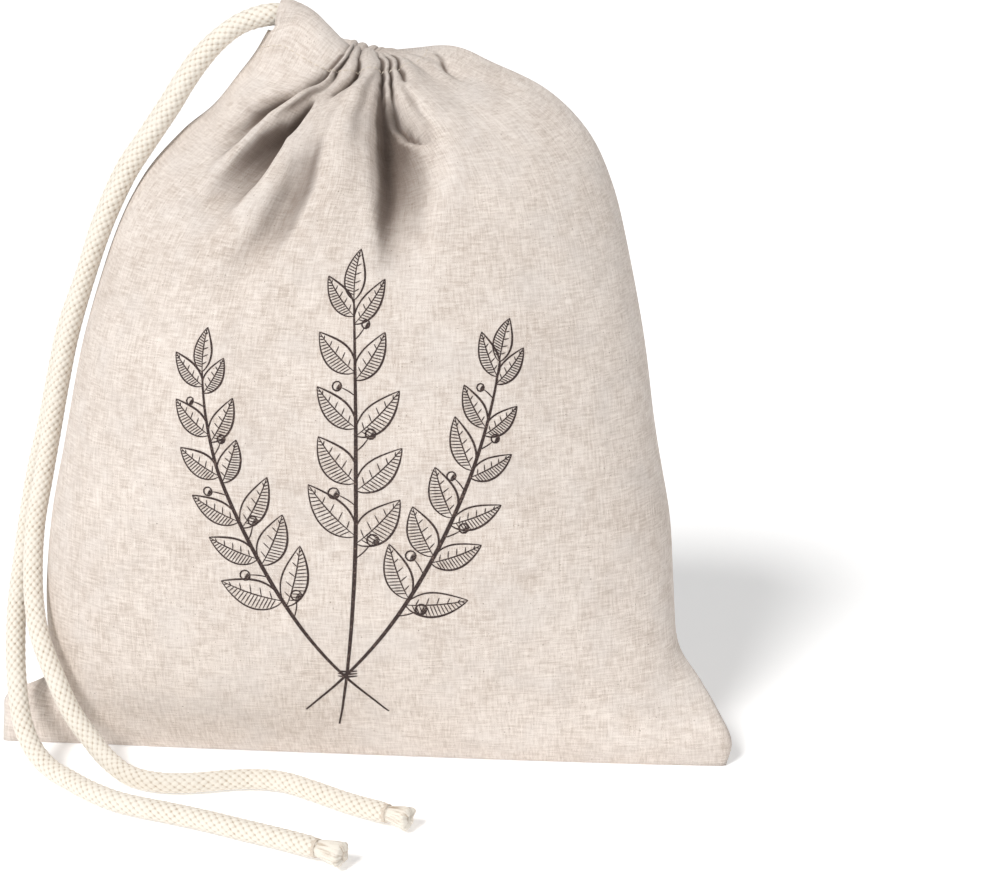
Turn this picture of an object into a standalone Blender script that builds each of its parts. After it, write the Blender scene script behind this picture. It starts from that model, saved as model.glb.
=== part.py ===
"""Linen bread bag, standing filled and drawn shut, with a braided cotton drawstring.

Metres, +Z up. X runs across the bag, the front panel faces -Y and the base stands on z = 0.
The bag is one length of linen, folded at the front of its base, seamed up both sides and
hemmed at the mouth. The hem is a sleeve around the drawstring, open at the left side seam,
where both ends of the cord come out and hang down to the floor.
"""
import math
from collections import namedtuple

import bmesh
import bpy
import numpy as np
from mathutils import Vector

# The cloth, the cord and the room the cord has in the hem
CLOTH_THICKNESS = 0.0011
CORD_DIAMETER = 0.0075
CORD_CLEARANCE = 0.0010
SLEEVE_RADIUS = CORD_DIAMETER / 2 + CORD_CLEARANCE + CLOTH_THICKNESS

# The bag's outline, one row for each ring of cloth from the base to the foot of the hem. A ring
# passes its left and right side seams, the middle of the front and the middle of the back.
# square is 2 for an ellipse and more for squarer shoulders. The corners of the base fold stick
# out by left_ear and right_ear.
Ring = namedtuple(
    "Ring",
    "left_x left_y left_z left_ear right_x right_y right_z right_ear "
    "front_y front_z back_y back_z square",
)
RINGS = (
    Ring(-0.118, -0.039, 0.000, 0.0225, 0.119, -0.046, 0.000, 0.0195, -0.044, 0.000, 0.046, 0.000, 3.4),
    Ring(-0.120, -0.037, 0.010, 0.0200, 0.119, -0.043, 0.009, 0.0215, -0.051, 0.010, 0.054, 0.010, 3.2),
    Ring(-0.121, -0.034, 0.018, 0.0175, 0.119, -0.039, 0.020, 0.0160, -0.054, 0.018, 0.057, 0.018, 3.0),
    Ring(-0.121, -0.031, 0.025, 0.0020, 0.119, -0.035, 0.031, 0.0090, -0.057, 0.027, 0.059, 0.027, 2.8),
    Ring(-0.123, -0.025, 0.039, 0.0000, 0.119, -0.028, 0.042, 0.0010, -0.060, 0.040, 0.061, 0.040, 2.6),
    Ring(-0.124, -0.016, 0.062, 0.0000, 0.118, -0.018, 0.062, 0.0000, -0.062, 0.060, 0.063, 0.060, 2.5),
    Ring(-0.1215, -0.009, 0.088, 0.0000, 0.116, -0.011, 0.088, 0.0000, -0.063, 0.088, 0.063, 0.088, 2.4),
    Ring(-0.1145, -0.004, 0.120, 0.0000, 0.110, -0.005, 0.120, 0.0000, -0.062, 0.120, 0.061, 0.120, 2.3),
    Ring(-0.1070, 0.000, 0.155, 0.0000, 0.105, 0.000, 0.155, 0.0000, -0.058, 0.155, 0.057, 0.155, 2.2),
    Ring(-0.0950, 0.001, 0.190, 0.0000, 0.098, 0.001, 0.190, 0.0000, -0.052, 0.188, 0.051, 0.188, 2.15),
    Ring(-0.0825, 0.001, 0.214, 0.0000, 0.092, 0.001, 0.213, 0.0000, -0.0455, 0.208, 0.044, 0.208, 2.1),
    Ring(-0.0670, 0.000, 0.231, 0.0000, 0.083, 0.000, 0.232, 0.0000, -0.037, 0.224, 0.037, 0.223, 2.05),
    Ring(-0.0545, 0.000, 0.241, 0.0000, 0.068, 0.000, 0.247, 0.0000, -0.0295, 0.236, 0.031, 0.235, 2.0),
    Ring(-0.0450, 0.000, 0.252, 0.0000, 0.048, 0.000, 0.2568, 0.0000, -0.0235, 0.2465, 0.0245, 0.2455, 2.0),
    Ring(-0.0385, 0.000, 0.260, 0.0000, 0.0330, 0.000, 0.2624, 0.0000, -0.0182, 0.2508, 0.0190, 0.2500, 2.1),
    Ring(-0.0335, 0.000, 0.2680, 0.0000, 0.0125, 0.000, 0.2592, 0.0000, -0.0138, 0.2590, 0.0138, 0.2585, 2.3),
)
EAR_WIDTH = 0.008

# The drawstring, from one free end to the other: down the side of the bag and over the floor
# in front of it, then round the mouth in the hem. Each point is a place of the cord's middle.
FRONT_TAIL = (
    (-0.0228, -0.0066, 0.2723),
    (-0.0251, -0.0064, 0.2736),
    (-0.0280, -0.0062, 0.2744),
    (-0.0326, -0.0062, 0.2741),
    (-0.0378, -0.0060, 0.2727),
    (-0.0446, -0.0057, 0.2695),
    (-0.0520, -0.0054, 0.2636),
    (-0.0585, -0.0052, 0.2564),
    (-0.0640, -0.0051, 0.2490),
    (-0.0698, -0.0051, 0.2402),
    (-0.0795, -0.0056, 0.2268),
    (-0.0875, -0.0064, 0.2150),
    (-0.0966, -0.0076, 0.1970),
    (-0.1046, -0.0088, 0.1765),
    (-0.1116, -0.0098, 0.1555),
    (-0.1166, -0.0104, 0.1360),
    (-0.1204, -0.0114, 0.1190),
    (-0.1240, -0.0146, 0.1010),
    (-0.1268, -0.0205, 0.0835),
    (-0.1266, -0.0290, 0.0680),
    (-0.1244, -0.0378, 0.0555),
    (-0.1206, -0.0452, 0.0450),
    (-0.1130, -0.0530, 0.0310),
    (-0.1072, -0.0570, 0.0210),
    (-0.0998, -0.0610, 0.0125),
    (-0.0930, -0.0655, 0.0070),
    (-0.0835, -0.0725, 0.0042),
    (-0.0725, -0.0768, 0.0038),
    (-0.0600, -0.0770, 0.0038),
    (-0.0452, -0.0738, 0.0038),
    (-0.0354, -0.0728, 0.0038),
    (-0.0251, -0.0745, 0.0038),
    (-0.0145, -0.0800, 0.0038),
    (0.0010, -0.0893, 0.0038),
    (0.0160, -0.0973, 0.0044),
)
REAR_TAIL = (
    (-0.0228, 0.0066, 0.2703),
    (-0.0251, 0.0064, 0.2715),
    (-0.0280, 0.0062, 0.2722),
    (-0.0328, 0.0060, 0.2724),
    (-0.0395, 0.0056, 0.2712),
    (-0.0460, 0.0050, 0.2686),
    (-0.0540, 0.0044, 0.2630),
    (-0.0608, 0.0040, 0.2564),
    (-0.0664, 0.0036, 0.2490),
    (-0.0722, 0.0033, 0.2404),
    (-0.0820, 0.0028, 0.2268),
    (-0.0900, 0.0022, 0.2155),
    (-0.0992, 0.0014, 0.1968),
    (-0.1068, 0.0008, 0.1765),
    (-0.1152, 0.0000, 0.1555),
    (-0.1205, -0.0012, 0.1355),
    (-0.1246, -0.0024, 0.1185),
    (-0.1294, -0.0044, 0.1010),
    (-0.1322, -0.0104, 0.0835),
    (-0.1334, -0.0184, 0.0688),
    (-0.1338, -0.0284, 0.0545),
    (-0.1326, -0.0384, 0.0420),
    (-0.1302, -0.0484, 0.0300),
    (-0.1262, -0.0580, 0.0175),
    (-0.1205, -0.0645, 0.0090),
    (-0.1130, -0.0705, 0.0048),
    (-0.1045, -0.0768, 0.0038),
    (-0.0951, -0.0845, 0.0038),
    (-0.0839, -0.0916, 0.0038),
    (-0.0738, -0.0957, 0.0038),
    (-0.0637, -0.0989, 0.0038),
    (-0.0492, -0.1039, 0.0038),
    (-0.0340, -0.1100, 0.0038),
    (-0.0186, -0.1163, 0.0040),
    (-0.0055, -0.1230, 0.0046),
)
LOOP = (
    (-0.0205, -0.0070, 0.2711),
    (-0.0172, -0.0075, 0.2688),
    (-0.0138, -0.0082, 0.2657),
    (-0.0098, -0.0088, 0.2618),
    (-0.0055, -0.0092, 0.2583),
    (-0.0005, -0.0092, 0.2561),
    (0.0045, -0.0084, 0.2551),
    (0.0087, -0.0057, 0.2545),
    (0.0105, 0.0000, 0.2542),
    (0.0087, 0.0056, 0.2541),
    (0.0045, 0.0082, 0.2543),
    (-0.0005, 0.0089, 0.2554),
    (-0.0055, 0.0089, 0.2571),
    (-0.0098, 0.0086, 0.2585),
    (-0.0138, 0.0081, 0.2611),
    (-0.0172, 0.0075, 0.2651),
    (-0.0205, 0.0070, 0.2687),
)
CORD_JOINT_GAP = 0.0003
LOOP_STEPS = 17
TAIL_STEPS = 27
TAIL_STEP_GROWTH = 1.35
JOINT_STEP = 0.006

# The whipped tuft that ends each tail: distance past the cord's end and radius
TUFT_PROFILE = (
    (0.0003, 0.0000),
    (0.0003, 0.0031),
    (0.0018, 0.0033),
    (0.0035, 0.0043),
    (0.0065, 0.0044),
    (0.0085, 0.0036),
    (0.0095, 0.0020),
    (0.0098, 0.0000),
)
TUFT_SIDES = 12

# The gather: where places of the cloth, counted across a panel from 0 at the left seam to 1 at
# the right, lie along the rings near the mouth. Below the first of these rings they lie evenly.
GATHER_PLACES = (0, 0.155, 0.25, 0.355, 0.45, 0.55, 0.62, 0.70, 0.885, 1)
GATHER_ROWS = (10.5, 11.8, 12.4, 12.9, 13.4, 13.9, 14.4, 15)
GATHER_SHARES = (
    (0, 0.155, 0.252, 0.360, 0.436, 0.535, 0.612, 0.697, 0.885, 1),
    (0, 0.167, 0.267, 0.352, 0.427, 0.512, 0.590, 0.680, 0.882, 1),
    (0, 0.193, 0.306, 0.370, 0.442, 0.526, 0.580, 0.674, 0.882, 1),
    (0, 0.262, 0.345, 0.402, 0.480, 0.560, 0.600, 0.680, 0.872, 1),
    (0, 0.322, 0.380, 0.438, 0.511, 0.585, 0.625, 0.685, 0.870, 1),
    (0, 0.375, 0.427, 0.503, 0.555, 0.620, 0.655, 0.705, 0.872, 1),
    (0, 0.465, 0.504, 0.600, 0.645, 0.694, 0.722, 0.758, 0.900, 1),
    (0, 0.622, 0.662, 0.725, 0.785, 0.835, 0.870, 0.905, 0.955, 1),
)

# Folds that run down from the gathered mouth. row counts the rings of the outline, place is the
# place of the cloth, depth is into the bag (a ridge is negative), and the fold reaches left and
# right of its line by the last two sizes.
FoldPoint = namedtuple("FoldPoint", "row place depth left right")
FRONT_FOLDS = (
    (  # crease under the pulled-out corner of the mouth
        FoldPoint(15.0, 0.155, 0.0020, 0.0020, 0.0012),
        FoldPoint(14.4, 0.155, 0.0035, 0.0030, 0.0014),
        FoldPoint(13.9, 0.155, 0.0056, 0.0045, 0.0018),
        FoldPoint(13.4, 0.155, 0.0074, 0.0060, 0.0024),
        FoldPoint(12.9, 0.155, 0.0080, 0.0080, 0.0035),
        FoldPoint(12.4, 0.155, 0.0066, 0.0095, 0.0055),
        FoldPoint(11.8, 0.157, 0.0046, 0.0110, 0.0080),
        FoldPoint(11.2, 0.160, 0.0024, 0.0120, 0.0090),
        FoldPoint(10.5, 0.160, 0.0000, 0.0130, 0.0100),
    ),
    (  # ridge below that crease
        FoldPoint(13.8, 0.205, -0.0008, 0.0030, 0.0030),
        FoldPoint(13.2, 0.205, -0.0026, 0.0035, 0.0035),
        FoldPoint(12.7, 0.205, -0.0036, 0.0045, 0.0045),
        FoldPoint(12.0, 0.203, -0.0036, 0.0060, 0.0060),
        FoldPoint(11.2, 0.196, -0.0026, 0.0080, 0.0070),
        FoldPoint(10.4, 0.185, 0.0000, 0.0100, 0.0080),
    ),
    (  # crease between the first two pleats
        FoldPoint(15.0, 0.250, 0.0012, 0.0012, 0.0012),
        FoldPoint(14.7, 0.250, 0.0026, 0.0015, 0.0015),
        FoldPoint(14.4, 0.250, 0.0022, 0.0020, 0.0020),
        FoldPoint(14.0, 0.250, 0.0000, 0.0025, 0.0025),
    ),
    (  # second valley
        FoldPoint(13.1, 0.255, 0.0000, 0.0030, 0.0025),
        FoldPoint(12.7, 0.257, 0.0050, 0.0045, 0.0025),
        FoldPoint(12.3, 0.256, 0.0090, 0.0080, 0.0032),
        FoldPoint(11.8, 0.255, 0.0105, 0.0110, 0.0042),
        FoldPoint(11.2, 0.254, 0.0098, 0.0130, 0.0060),
        FoldPoint(10.6, 0.253, 0.0076, 0.0150, 0.0085),
        FoldPoint(10.0, 0.246, 0.0044, 0.0160, 0.0110),
        FoldPoint(9.2, 0.235, 0.0000, 0.0160, 0.0130),
    ),
    (  # tuck under the edge of the middle ridge
        FoldPoint(15.0, 0.355, 0.0012, 0.0015, 0.0012),
        FoldPoint(14.6, 0.355, 0.0026, 0.0022, 0.0014),
        FoldPoint(14.2, 0.355, 0.0034, 0.0028, 0.0015),
        FoldPoint(13.8, 0.352, 0.0036, 0.0032, 0.0017),
        FoldPoint(13.5, 0.350, 0.0028, 0.0036, 0.0020),
        FoldPoint(13.2, 0.347, 0.0012, 0.0040, 0.0025),
        FoldPoint(12.9, 0.345, 0.0000, 0.0040, 0.0030),
    ),
    (  # soft valley on the left of the middle ridge
        FoldPoint(11.9, 0.362, 0.0000, 0.0090, 0.0090),
        FoldPoint(11.2, 0.356, 0.0042, 0.0100, 0.0100),
        FoldPoint(10.5, 0.361, 0.0070, 0.0110, 0.0110),
        FoldPoint(9.8, 0.357, 0.0070, 0.0120, 0.0120),
        FoldPoint(9.2, 0.338, 0.0048, 0.0140, 0.0140),
        FoldPoint(8.4, 0.322, 0.0000, 0.0150, 0.0150),
    ),
    (  # broad middle ridge
        FoldPoint(14.4, 0.450, -0.0008, 0.0030, 0.0030),
        FoldPoint(13.6, 0.450, -0.0022, 0.0060, 0.0045),
        FoldPoint(13.0, 0.450, -0.0035, 0.0110, 0.0070),
        FoldPoint(12.0, 0.448, -0.0045, 0.0150, 0.0110),
        FoldPoint(11.2, 0.440, -0.0048, 0.0160, 0.0150),
        FoldPoint(10.4, 0.445, -0.0038, 0.0180, 0.0170),
        FoldPoint(9.6, 0.452, -0.0020, 0.0220, 0.0200),
        FoldPoint(8.8, 0.455, 0.0000, 0.0240, 0.0220),
    ),
    (  # main valley
        FoldPoint(15.0, 0.550, 0.0016, 0.0014, 0.0016),
        FoldPoint(14.5, 0.550, 0.0030, 0.0018, 0.0022),
        FoldPoint(13.9, 0.550, 0.0042, 0.0022, 0.0030),
        FoldPoint(13.4, 0.550, 0.0060, 0.0024, 0.0045),
        FoldPoint(12.9, 0.550, 0.0090, 0.0028, 0.0080),
        FoldPoint(12.4, 0.550, 0.0135, 0.0034, 0.0155),
        FoldPoint(11.8, 0.548, 0.0170, 0.0042, 0.0235),
        FoldPoint(11.2, 0.541, 0.0168, 0.0048, 0.0265),
        FoldPoint(10.6, 0.545, 0.0142, 0.0060, 0.0240),
        FoldPoint(10.1, 0.555, 0.0106, 0.0065, 0.0200),
        FoldPoint(9.6, 0.567, 0.0066, 0.0080, 0.0170),
        FoldPoint(9.1, 0.578, 0.0030, 0.0100, 0.0150),
        FoldPoint(8.6, 0.590, 0.0000, 0.0120, 0.0130),
    ),
    (  # crease that curls away to the right of the main valley
        FoldPoint(15.0, 0.620, 0.0014, 0.0012, 0.0014),
        FoldPoint(14.4, 0.620, 0.0026, 0.0016, 0.0018),
        FoldPoint(13.8, 0.620, 0.0036, 0.0020, 0.0020),
        FoldPoint(13.2, 0.620, 0.0050, 0.0030, 0.0024),
        FoldPoint(12.7, 0.620, 0.0074, 0.0042, 0.0028),
        FoldPoint(12.3, 0.621, 0.0080, 0.0050, 0.0030),
        FoldPoint(12.0, 0.628, 0.0066, 0.0060, 0.0035),
        FoldPoint(11.8, 0.640, 0.0044, 0.0060, 0.0040),
        FoldPoint(11.6, 0.655, 0.0000, 0.0060, 0.0040),
    ),
    (  # lobe of cloth over that crease
        FoldPoint(14.2, 0.730, -0.0010, 0.0030, 0.0060),
        FoldPoint(13.2, 0.695, -0.0025, 0.0045, 0.0110),
        FoldPoint(12.4, 0.682, -0.0035, 0.0060, 0.0170),
        FoldPoint(11.8, 0.677, -0.0030, 0.0070, 0.0200),
        FoldPoint(11.0, 0.672, -0.0016, 0.0100, 0.0220),
        FoldPoint(10.2, 0.670, 0.0000, 0.0120, 0.0220),
    ),
    (  # short crease beside the mouth
        FoldPoint(15.0, 0.700, 0.0012, 0.0012, 0.0014),
        FoldPoint(14.5, 0.700, 0.0024, 0.0018, 0.0022),
        FoldPoint(14.1, 0.700, 0.0022, 0.0022, 0.0030),
        FoldPoint(13.7, 0.700, 0.0010, 0.0030, 0.0035),
        FoldPoint(13.4, 0.700, 0.0000, 0.0030, 0.0035),
    ),
    (  # crease on the right shoulder
        FoldPoint(14.5, 0.975, 0.0000, 0.0030, 0.0030),
        FoldPoint(14.2, 0.930, 0.0020, 0.0030, 0.0035),
        FoldPoint(13.8, 0.888, 0.0022, 0.0035, 0.0040),
        FoldPoint(13.3, 0.872, 0.0014, 0.0040, 0.0050),
        FoldPoint(12.9, 0.865, 0.0000, 0.0040, 0.0050),
    ),
)
BACK_FOLDS = (
    (
        FoldPoint(14.7, 0.150, 0.0015, 0.0030, 0.0030),
        FoldPoint(13.6, 0.160, 0.0040, 0.0040, 0.0050),
        FoldPoint(12.6, 0.170, 0.0052, 0.0070, 0.0060),
        FoldPoint(11.4, 0.180, 0.0030, 0.0110, 0.0090),
        FoldPoint(10.2, 0.180, 0.0000, 0.0140, 0.0120),
    ),
    (
        FoldPoint(14.8, 0.310, 0.0020, 0.0025, 0.0030),
        FoldPoint(13.7, 0.320, 0.0050, 0.0035, 0.0050),
        FoldPoint(12.6, 0.330, 0.0078, 0.0060, 0.0100),
        FoldPoint(11.4, 0.340, 0.0065, 0.0090, 0.0130),
        FoldPoint(10.2, 0.345, 0.0030, 0.0120, 0.0150),
        FoldPoint(9.2, 0.345, 0.0000, 0.0140, 0.0160),
    ),
    (
        FoldPoint(13.9, 0.440, -0.0010, 0.0050, 0.0050),
        FoldPoint(12.6, 0.445, -0.0030, 0.0100, 0.0090),
        FoldPoint(11.2, 0.455, -0.0030, 0.0160, 0.0140),
        FoldPoint(9.6, 0.460, 0.0000, 0.0200, 0.0190),
    ),
    (
        FoldPoint(14.8, 0.540, 0.0020, 0.0030, 0.0025),
        FoldPoint(13.8, 0.545, 0.0050, 0.0050, 0.0035),
        FoldPoint(12.8, 0.550, 0.0070, 0.0090, 0.0045),
        FoldPoint(11.8, 0.555, 0.0060, 0.0120, 0.0060),
        FoldPoint(10.8, 0.570, 0.0035, 0.0130, 0.0090),
        FoldPoint(9.8, 0.580, 0.0000, 0.0140, 0.0120),
    ),
    (
        FoldPoint(14.6, 0.700, 0.0015, 0.0030, 0.0030),
        FoldPoint(13.4, 0.705, 0.0042, 0.0050, 0.0050),
        FoldPoint(12.4, 0.710, 0.0048, 0.0070, 0.0080),
        FoldPoint(11.4, 0.715, 0.0026, 0.0100, 0.0110),
        FoldPoint(10.4, 0.720, 0.0000, 0.0120, 0.0140),
    ),
    (
        FoldPoint(14.3, 0.850, 0.0010, 0.0030, 0.0030),
        FoldPoint(13.4, 0.850, 0.0024, 0.0040, 0.0050),
        FoldPoint(12.4, 0.845, 0.0020, 0.0060, 0.0070),
        FoldPoint(11.4, 0.840, 0.0000, 0.0080, 0.0090),
    ),
)

# The cloth doesn't bend round a fold more tightly than this. A side of a valley with the short
# reach is a sharp crease, and one with the long reach is a soft trough.
FOLD_RADIUS = 0.0018
SHARP_REACH = 0.0030
SOFT_REACH = 0.0070
FOLD_ROUNDNESS = 5.0
FOLD_START_ROWS = 0.4
SEAM_FADE = 0.012
ROW_STEP = 0.05

# Soft hollows (and swellings, negative) pressed into the filled cloth: ring row, place of the
# cloth, depth, and how far the hollow reaches along the ring and up the bag
Hollow = namedtuple("Hollow", "row place depth wide high")
FRONT_HOLLOWS = (
    Hollow(12.9, 0.885, 0.0018, 0.018, 0.012),
    Hollow(14.1, 0.940, 0.0010, 0.010, 0.006),
    Hollow(6.4, 0.300, 0.0012, 0.045, 0.035),
    Hollow(4.6, 0.820, 0.0010, 0.035, 0.030),
    Hollow(8.4, 0.640, -0.0012, 0.040, 0.030),
)
BACK_HOLLOWS = (
    Hollow(5.2, 0.420, 0.0022, 0.060, 0.035),
    Hollow(8.0, 0.700, 0.0020, 0.045, 0.035),
    Hollow(6.8, 0.180, -0.0015, 0.040, 0.035),
)

# Pleats of the mouth: the places of the valleys between them and the height of the pleat that
# follows each valley. They start at the hem and fade out down the cloth.
Pleat = namedtuple("Pleat", "place height")
FRONT_PLEATS = (
    Pleat(0.000, 0.0002),
    Pleat(0.155, 0.0017),
    Pleat(0.250, 0.0018),
    Pleat(0.355, 0.0022),
    Pleat(0.550, 0.0010),
    Pleat(0.620, 0.0009),
    Pleat(0.700, 0.0012),
    Pleat(0.810, 0.0010),
    Pleat(0.900, 0.0008),
    Pleat(1.000, 0.0000),
)
BACK_PLEATS = (
    Pleat(0.000, 0.0002),
    Pleat(0.140, 0.0012),
    Pleat(0.240, 0.0014),
    Pleat(0.370, 0.0016),
    Pleat(0.500, 0.0014),
    Pleat(0.610, 0.0013),
    Pleat(0.720, 0.0016),
    Pleat(0.860, 0.0013),
    Pleat(1.000, 0.0000),
)
PLEAT_FADE_ROWS = (12.6, 14.3)

# How finely the cloth is laid out: columns across one panel, near the mouth and below, and the
# rings they are laid on. The hem starts this many columns from the left seam.
FINE_COLUMNS = 54
COARSE_COLUMNS = 27
RING_SAMPLES = 240
LOOP_SAMPLES = 160
CORD_SAMPLES = 6000
COARSE_ROWS = (0, 0.5, 1, 1.6, 2.2, 3, 4, 5, 6, 7, 8, 9)
FINE_ROWS = (9.6, 10.3, 11, 11.5, 12, 12.5, 13, 13.5, 14, 14.35, 14.7, 15)
NOTCH_COLUMNS = 2
BASE_ROWS = 4
HEM_STEPS = (0, 0.09, 0.18, 0.27, 0.37, 0.48, 0.60, 0.73, 0.87, 1)
HEM_START_TURNS = (-45, 12, 25, 42, 62, 85)
HEM_START_SHARES = (0, 0.15, 0.60, 0.80, 0.93, 1)
HEM_END_TURN = 264
HEM_BLEND_FROM = 13.4
HEM_AHEAD_STEP = 0.01
PLEAT_SWELL_TURN = 0.35
PLEAT_SWELL_RATE = 0.6
PLEAT_ROUND = 0.8
TOP_ROW = len(RINGS) - 1


def smooth(points, at):
    """Catmull-Rom curve through rows of numbers, read at the given row positions."""
    points = np.asarray(points, float)
    last = len(points) - 1
    points = np.concatenate([[2 * points[0] - points[1]], points, [2 * points[-1] - points[-2]]])
    at = np.clip(np.asarray(at, float), 0, last)
    cell = np.minimum(at.astype(int), last - 1)
    part = (at - cell)[..., None]
    before, start, end, after = (points[cell + i] for i in range(4))
    return 0.5 * (
        2 * start
        + (end - before) * part
        + (2 * before - 5 * start + 4 * end - after) * part**2
        + (3 * start - before - 3 * end + after) * part**3
    )


def lengths(points):
    """Distance along a polyline to each of its points."""
    steps = np.linalg.norm(np.diff(points, axis=0), axis=1)
    return np.concatenate(([0.0], np.cumsum(steps)))


def along(points, shares):
    """Points at shares of a polyline's length."""
    reach = lengths(points)
    return np.stack([np.interp(shares, reach / reach[-1], points[:, i]) for i in range(3)], -1)


def panel_curve(row, is_back):
    """One panel's curve at a ring row, from the left seam to the right seam."""
    ring = Ring(*smooth(RINGS, row))
    middle_y = ring.back_y if is_back else ring.front_y
    middle_z = ring.back_z if is_back else ring.front_z
    turn = np.linspace(0, math.pi, RING_SAMPLES)
    power = 2 / ring.square
    across = (1 - np.sign(np.cos(turn)) * np.abs(np.cos(turn)) ** power) / 2
    out = np.abs(np.sin(turn)) ** power
    x = ring.left_x + (ring.right_x - ring.left_x) * across
    y = ring.left_y + (ring.right_y - ring.left_y) * across
    z = ring.left_z + (ring.right_z - ring.left_z) * across
    y = y + (middle_y - (ring.left_y + ring.right_y) / 2) * out
    z = z + (middle_z - (ring.left_z + ring.right_z) / 2) * out
    curve = np.stack([x, y, z], -1)
    reach = lengths(curve)
    x = x - ring.left_ear * np.exp(-((reach / EAR_WIDTH) ** 2))
    x = x + ring.right_ear * np.exp(-(((reach[-1] - reach) / EAR_WIDTH) ** 2))
    return np.stack([x, y, z], -1)


def loop_curve(is_back):
    """Half of the drawstring's loop in the hem, from the left seam to the far right."""
    points = np.array(FRONT_TAIL[2::-1] + LOOP + REAR_TAIL[:3])
    middle = len(points) // 2
    if is_back:
        points = points[::-1]
    return smooth(points, np.linspace(0, middle, LOOP_SAMPLES))


def gathered(row, places):
    """Shares of a ring at which places of the cloth lie."""
    table = np.array(GATHER_SHARES)
    shares = [np.interp(row, GATHER_ROWS, table[:, i]) for i in range(len(GATHER_PLACES))]
    return np.interp(places, GATHER_PLACES, shares)


def pleat_height(places, is_back):
    """How far the pleats stand out at places of the cloth, where they are whole."""
    pleats = BACK_PLEATS if is_back else FRONT_PLEATS
    height = np.zeros_like(places)
    for pleat, following in zip(pleats[:-1], pleats[1:]):
        part = np.clip((places - pleat.place) / (following.place - pleat.place), 0, 1)
        height += pleat.height * np.sin(math.pi * part) ** PLEAT_ROUND
    return height


def hem_points(places, part, is_back):
    """Points on the hem's sleeve, from its foot (part 0) round the cord to its edge (part 1)."""
    first = gathered(TOP_ROW, NOTCH_COLUMNS / FINE_COLUMNS)
    shares = np.clip((gathered(TOP_ROW, places) - first) / (1 - first), 0, 1)
    curve = loop_curve(is_back)
    middle = along(curve, shares)
    before = along(curve, np.clip(shares - HEM_AHEAD_STEP, 0, 1))
    ahead = along(curve, np.clip(shares + HEM_AHEAD_STEP, 0, 1)) - before
    ahead /= np.linalg.norm(ahead, axis=1)[:, None]
    side = np.cross(ahead, (0.0, 0.0, 1.0)) * (-1 if is_back else 1)
    side /= np.linalg.norm(side, axis=1)[:, None]
    up = np.cross(side, ahead) * (-1 if is_back else 1)
    start = np.interp(shares, HEM_START_SHARES, HEM_START_TURNS)
    turn = np.radians(start + (HEM_END_TURN - start) * part)[:, None]
    outward = np.maximum(0, np.cos((turn - PLEAT_SWELL_TURN) * PLEAT_SWELL_RATE))
    radius = SLEEVE_RADIUS + pleat_height(places, is_back)[:, None] * outward
    return middle + radius * (np.cos(turn) * side + np.sin(turn) * up)


def fold_depth(row, places, width, is_back):
    """How deep the folds, pleats and hollows press the cloth in at places of a ring."""
    shares = gathered(row, places)
    fade = np.clip((row - PLEAT_FADE_ROWS[0]) / (PLEAT_FADE_ROWS[1] - PLEAT_FADE_ROWS[0]), 0, 1)
    depth = -pleat_height(places, is_back) * fade * fade * (3 - 2 * fade)
    for fold in BACK_FOLDS if is_back else FRONT_FOLDS:
        table = np.array(fold)[::-1]
        if not table[0, 0] <= row <= table[-1, 0] + FOLD_START_ROWS:
            continue
        place, deep, left, right = (np.interp(row, table[:, 0], table[:, i]) for i in (1, 2, 3, 4))
        deep *= min(1.0, (table[-1, 0] + FOLD_START_ROWS - row) / FOLD_START_ROWS)
        column = float(np.interp(place, places, np.gradient(shares))) * width
        least = max(2 * column, math.sqrt(FOLD_ROUNDNESS * abs(deep) * FOLD_RADIUS))
        offset = (shares - gathered(row, place)) * width
        reach = np.where(offset < 0, max(left, least), max(right, least))
        part = np.clip(np.abs(offset) / reach, 0, 1)
        trough = (1 + np.cos(math.pi * part)) / 2
        crease = 1 - np.sin(math.pi * part / 2)
        sharp = np.clip((SOFT_REACH - reach) / (SOFT_REACH - SHARP_REACH), 0, 1) * (deep > 0)
        depth += deep * (trough + (crease - trough) * sharp)
    for hollow in BACK_HOLLOWS if is_back else FRONT_HOLLOWS:
        rise = Ring(*smooth(RINGS, row)).front_z - Ring(*smooth(RINGS, hollow.row)).front_z
        offset = (shares - gathered(row, hollow.place)) * width
        depth += hollow.depth * np.exp(-((offset / hollow.wide) ** 2) - (rise / hollow.high) ** 2)
    return depth


def panel_points(row, columns, is_back):
    """Points of one panel on a ring, with its folds, from the left seam to the right seam."""
    places = np.linspace(0, 1, columns + 1)
    shares = gathered(row, places)
    curves = [panel_curve(min(max(row + d, 0), TOP_ROW), is_back) for d in (-ROW_STEP, 0, ROW_STEP)]
    below, here, above = (along(curve, shares) for curve in curves)
    normal = np.cross(np.gradient(here, axis=0), above - below) * (-1 if is_back else 1)
    normal /= np.linalg.norm(normal, axis=1)[:, None]
    width = lengths(curves[1])[-1]
    seam_fade = np.clip(np.minimum(shares, 1 - shares) * width / SEAM_FADE, 0, 1)
    depth = fold_depth(row, places, width, is_back) * seam_fade
    lift, whole = lift_to_hem(row, places, is_back)
    return here + lift - normal * depth[:, None] * (1 - whole * whole)


def lift_to_hem(row, places, is_back):
    """The move that leads a top ring of the cloth into the foot of the hem, and how whole it is."""
    part = max(0.0, (row - HEM_BLEND_FROM) / (TOP_ROW - HEM_BLEND_FROM))
    whole = part * part * (3 - 2 * part)
    if whole == 0:
        return np.zeros((len(places), 3)), whole
    top_curve = along(panel_curve(TOP_ROW, is_back), gathered(TOP_ROW, places))
    reach = np.clip(places / NOTCH_COLUMNS * FINE_COLUMNS, 0, 1)[:, None]
    reach = reach * reach * (3 - 2 * reach)
    return (hem_points(places, 0, is_back) - top_curve) * reach * whole, whole


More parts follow.
